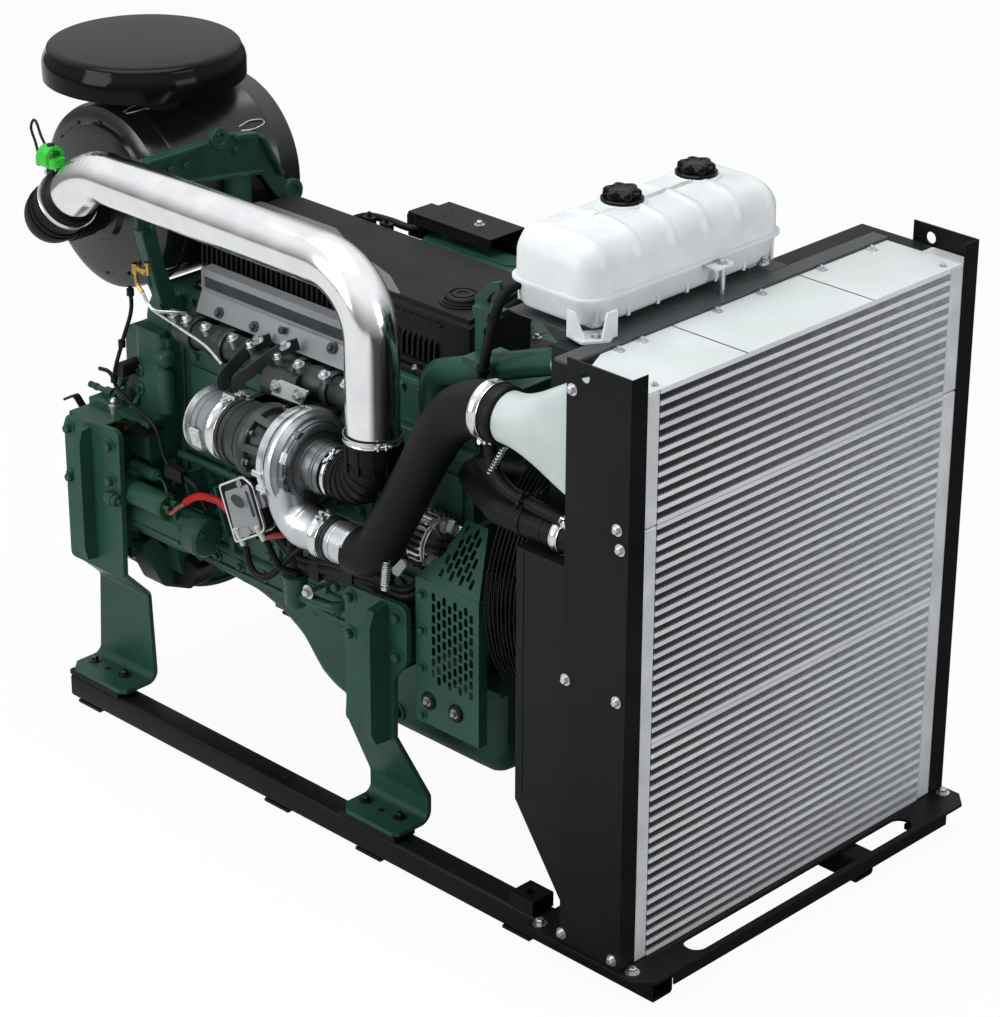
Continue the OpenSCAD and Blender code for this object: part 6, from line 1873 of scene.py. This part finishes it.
def leads():
    """Cables and pipes clipped along the near side of the engine."""
    red = [cord([(-1190, -330, 664), (-1162, -332, 676), (-1096, -334, 703), (-1040, -330, 712),
        (-960, -320, 716), (-880, -326, 716), (-833, -332, 713), (-791, -332, 725), (-760, -300, 760)],
        9, 14)]
    piece("alternator_cable", RED_SHEATH, red, smooth=60)
    harness = spline([(-1240, -250, 640), (-1140, -300, 640), (-1048, -330, 640), (-952, -332, 662),
        (-890, -330, 664), (-798, -330, 672), (-719, -328, 676), (-690, -300, 700)], 10)
    parts = [tube(harness, 13, 16), tube(harness + (0, -8, 20), 8, 12), tube(harness + (0, 8, -18), 9, 12)]
    for p in ((-1000, -336, 650), (-890, -336, 664), (-790, -336, 674)):
        parts.append(slab(soft(rect(p[0] - 16, p[0] + 16, p[2] - 26, p[2] + 34), 6), p[1] - 10,
            p[1] + 26, "y"))
    piece("wiring_harness", BLACK_NYLON, parts, bevel=1, smooth=50)
    stem = spline([(-1660, -300, 1134), (-1661, -300, 1072), (-1700, -300, 980), (-1735, -300, 878),
        (-1690, -300, 840), (-1595, -300, 803), (-1559, -300, 728), (-1520, -300, 700),
        (-1481, -300, 704)], 8)
    rear = [tube(stem, 5, 12), cord([(-1735, -300, 878), (-1760, -296, 890), (-1800, -290, 884)], 5,
        12, 6)]
    for p in ((-1700, 980), (-1735, 880), (-1660, 1120)):
        rear.append(rod((p[0], -300, p[1]), "z", 9, -8, 8, 14))
    rear.append(slab(soft(rect(-1550, -1490, 690, 720), 6), -312, -290, "y"))
    rear.append(cord([(-1490, -300, 704), (-1450, -300, 690), (-1430, -290, 640)], 6, 12, 6))
    rear.append(slab(soft(rect(-1730, -1700, 892, 922), 4), -300, -240, "y"))
    piece("rear_harness", BLACK_NYLON, rear, bevel=0.8, smooth=50)
    lever = arc_path([(-1923, -300, 772), (-1885, -300, 794), (-1860, -300, 771), (-1800, -300, 762)],
        12, 5)
    plate = [sweep(lever, rect(-9, 9, -3, 3)),
        slab(soft([(-1800, 770), (-1640, 800), (-1640, 790), (-1600, 778), (-1700, 752), (-1800, 752)],
        6), -320, -262, "y")]
    piece("shift_plate", BLACK_COAT, plate, bevel=1)
    stub = [lathe([(0, 4), (0, 8), (8, 8), (10, 6), (16, 6), (18, 9), (28, 9), (30, 7), (60, 7),
        (62, 12), (76, 12), (90, 16)], (-1878, -260, 812), "x", 20)]
    piece("drain_stub", GREEN_CAST, stub, smooth=40)
    white = [lathe([(0, 9), (10, 9), (12, 12), (20, 12), (22, 6)], (-1742, -300, 790), "z", 20),
        lathe([(22, 6), (26, 9), (33, 9), (38, 5)], (-1742, -300, 790), "z", 20)]
    piece("pressure_switch", ZINC, white, smooth=50)
    yellow = [rod(p, (0, -1, 0), 6, -2, 2, 12) for p in ((-1700, -322, 786), (-1676, -322, 776))]
    piece("yellow_plugs", BRASS, yellow)


def coil_spring(top, foot, turns, r, wire, count):
    """A wire wound round the line between two points: each point of the line plus a circle."""
    t = np.linspace(0, 1, count)
    turn = 2 * np.pi * turns * t
    line = top + (foot - top) * t[:, None]
    return tube(line + np.stack([r * np.cos(turn), r * np.sin(turn), 0 * t], 1), wire, 6)


def fittings():
    """Brass banjo, thin steel pipes, drain hose and the spring-loaded stud."""
    brass = [rod((-1600, -330, 1204), "z", 9, -12, 12, 6), lathe([(0, 7), (16, 7), (18, 9), (34, 9)],
        (-1592, -330, 1204), "x", 6), lathe([(0, 6), (22, 6), (24, 9), (30, 9)], (-1556, -330, 1200),
        "z", 6), cord([(-1600, -330, 1194), (-1596, -330, 1166), (-1579, -330, 1151)], 5, 12, 5)]
    piece("brass_fitting", BRASS, brass, bevel=0.6, smooth=40)
    pipes = [cord([(-1579, -330, 1151), (-1562, -328, 1126), (-1541, -324, 1114), (-1515, -290, 1108),
        (-1508, -262, 1100)], 4, 10, 6),
        cord([(-1584, -300, 1098), (-1540, -300, 1090), (-1477, -300, 1078), (-1400, -300, 1062),
        (-1330, -312, 1040)], 3.5, 10, 6)]
    piece("steel_pipes", ZINC, pipes, smooth=60)
    drain = [cord([(-1100, -361, 862), (-1092, -350, 800), (-1076, -336, 740), (-1078, -330, 691),
        (-1078, -330, 603)], 18, 20)]
    piece("drain_hose", RUBBER, drain, smooth=60)
    elbow = [lathe([(526, 8), (528, 20), (534, 25), (570, 27), (596, 28), (600, 31), (606, 31),
        (608, 28), (608, 18)], (-1078, -330, 0), "z", 32),
        tube(arc_path([(-1060, -330, 558), (-960, -322, 560), (-920, -200, 560)], 30, 6, 10), 13, 20),
        dome((-920, -206, 560), "-y", 26, 10)]
    piece("drain_elbow", GREEN_CAST, elbow, smooth=45)
    piece("drain_bolt", ZINC, [bolt((-1026, -338, 584), "-y", 18), stud((-1026, -338, 584), "+y", 6, 130)])
    top, foot = np.array([-683, -420, 812]), np.array([-689, -420, 750])
    piece("sprung_stud", ZINC, [coil_spring(top, foot, 11, 9, 1.7, 110),
        tube([top + (0, 0, 8), foot + (0, 0, -14)], 4, 12), rod(foot + (0, 0, -8), "z", 10, -4, 4, 6)],
        smooth=50)
    tie = [slab(soft([(-757, 756), (-720, 770), (-712, 758), (-736, 722), (-754, 724)], 4), -336, -330,
        "y")]
    piece("pale_tie", ZINC_SHEET, tie, bevel=1)
    top, foot = np.array([-371, -380, 1161]), np.array([-413, -380, 1091])
    piece("clamp_spring", ZINC, [coil_spring(top, foot, 9, 7, 1.6, 80), tube([top, foot], 3, 10)],
        smooth=50)


def breather():
    """A cranked green plate in front of the rocker cover, and the tube tied to it."""
    plate = soft([(-604, 1236), (-604, 1386), (-588, 1402), (-560, 1428), (-535, 1437), (-530, 1420),
        (-554, 1408), (-568, 1390), (-566, 1330), (-578, 1320), (-578, 1236)], 6)
    piece("breather_plate", GREEN_CAST, [slab(plate, -232, -220, "y"), block(-610, -570, -232, -150,
        1236, 1246), block(-578, -510, -266, -226, 1366, 1382), block(-590, -524, -284, -226, 1254,
        1270)], bevel=2)
    line = spline([(-440, -170, 1462), (-462, -232, 1458), (-488, -262, 1432), (-508, -272, 1374),
        (-522, -290, 1262), (-532, -288, 1180), (-540, -280, 1080)], 8)
    ties = [band(p, (0.2, 0, 1), 12, 15, -6, 6, 20) for p in ((-508, -272, 1374), (-522, -290, 1262))]
    piece("breather_tube", RUBBER, [tube(line, 11, 20)] + ties, smooth=50)


def far_side():
    """The intake manifold: a cast box with ribs across it."""
    refined("intake_manifold", GREEN_CAST, 8, 4)
    x0, y0, z0, x1, y1, z1 = extent("intake_manifold")
    ribs = []
    for x in np.arange(x0 + 30, x1 - 20, 68.0):
        ribs.append(slab([(y0 + 4, z0 + 8), (y1 + 6, z0 + 40), (y1 + 6, z1 - 6), (y0 + 30, z1 + 4),
            (y0 + 4, z1 - 2)], x, x + 8, "x"))
    piece("intake_manifold_ribs", GREEN_CAST, ribs, bevel=1.5)
    spots = [(x, y1 + 1, z) for x in np.arange(x0 + 60, x1 - 20, 136.0) for z in (z0 + 60, z1 - 30)]
    piece("intake_manifold_bolts", GREEN_CAST, bolts(spots, "+y", 14))


rails()
radiator()
covers()
expansion_tank()
shroud()
fan_guard()
fan()
belt_drive()
charge_air()
elbow_ribs()
pipe_end, pipe_down = intake_pipe()
intake_elbow(pipe_end, pipe_down)
air_cleaner()
rain_cap()
cleaner_bracket()
rocker_cover()
far_top()
exhaust_outlet()
turbine()
compressor()
manifold()
heat_shield()
timing_case()
flywheel_housing()
flywheel()
starter()
feet()
belt_guard()
oil_sump()
engine_block()
alternator()
coolant()
sensor_box()
leads()
fittings()
breather()
far_side()
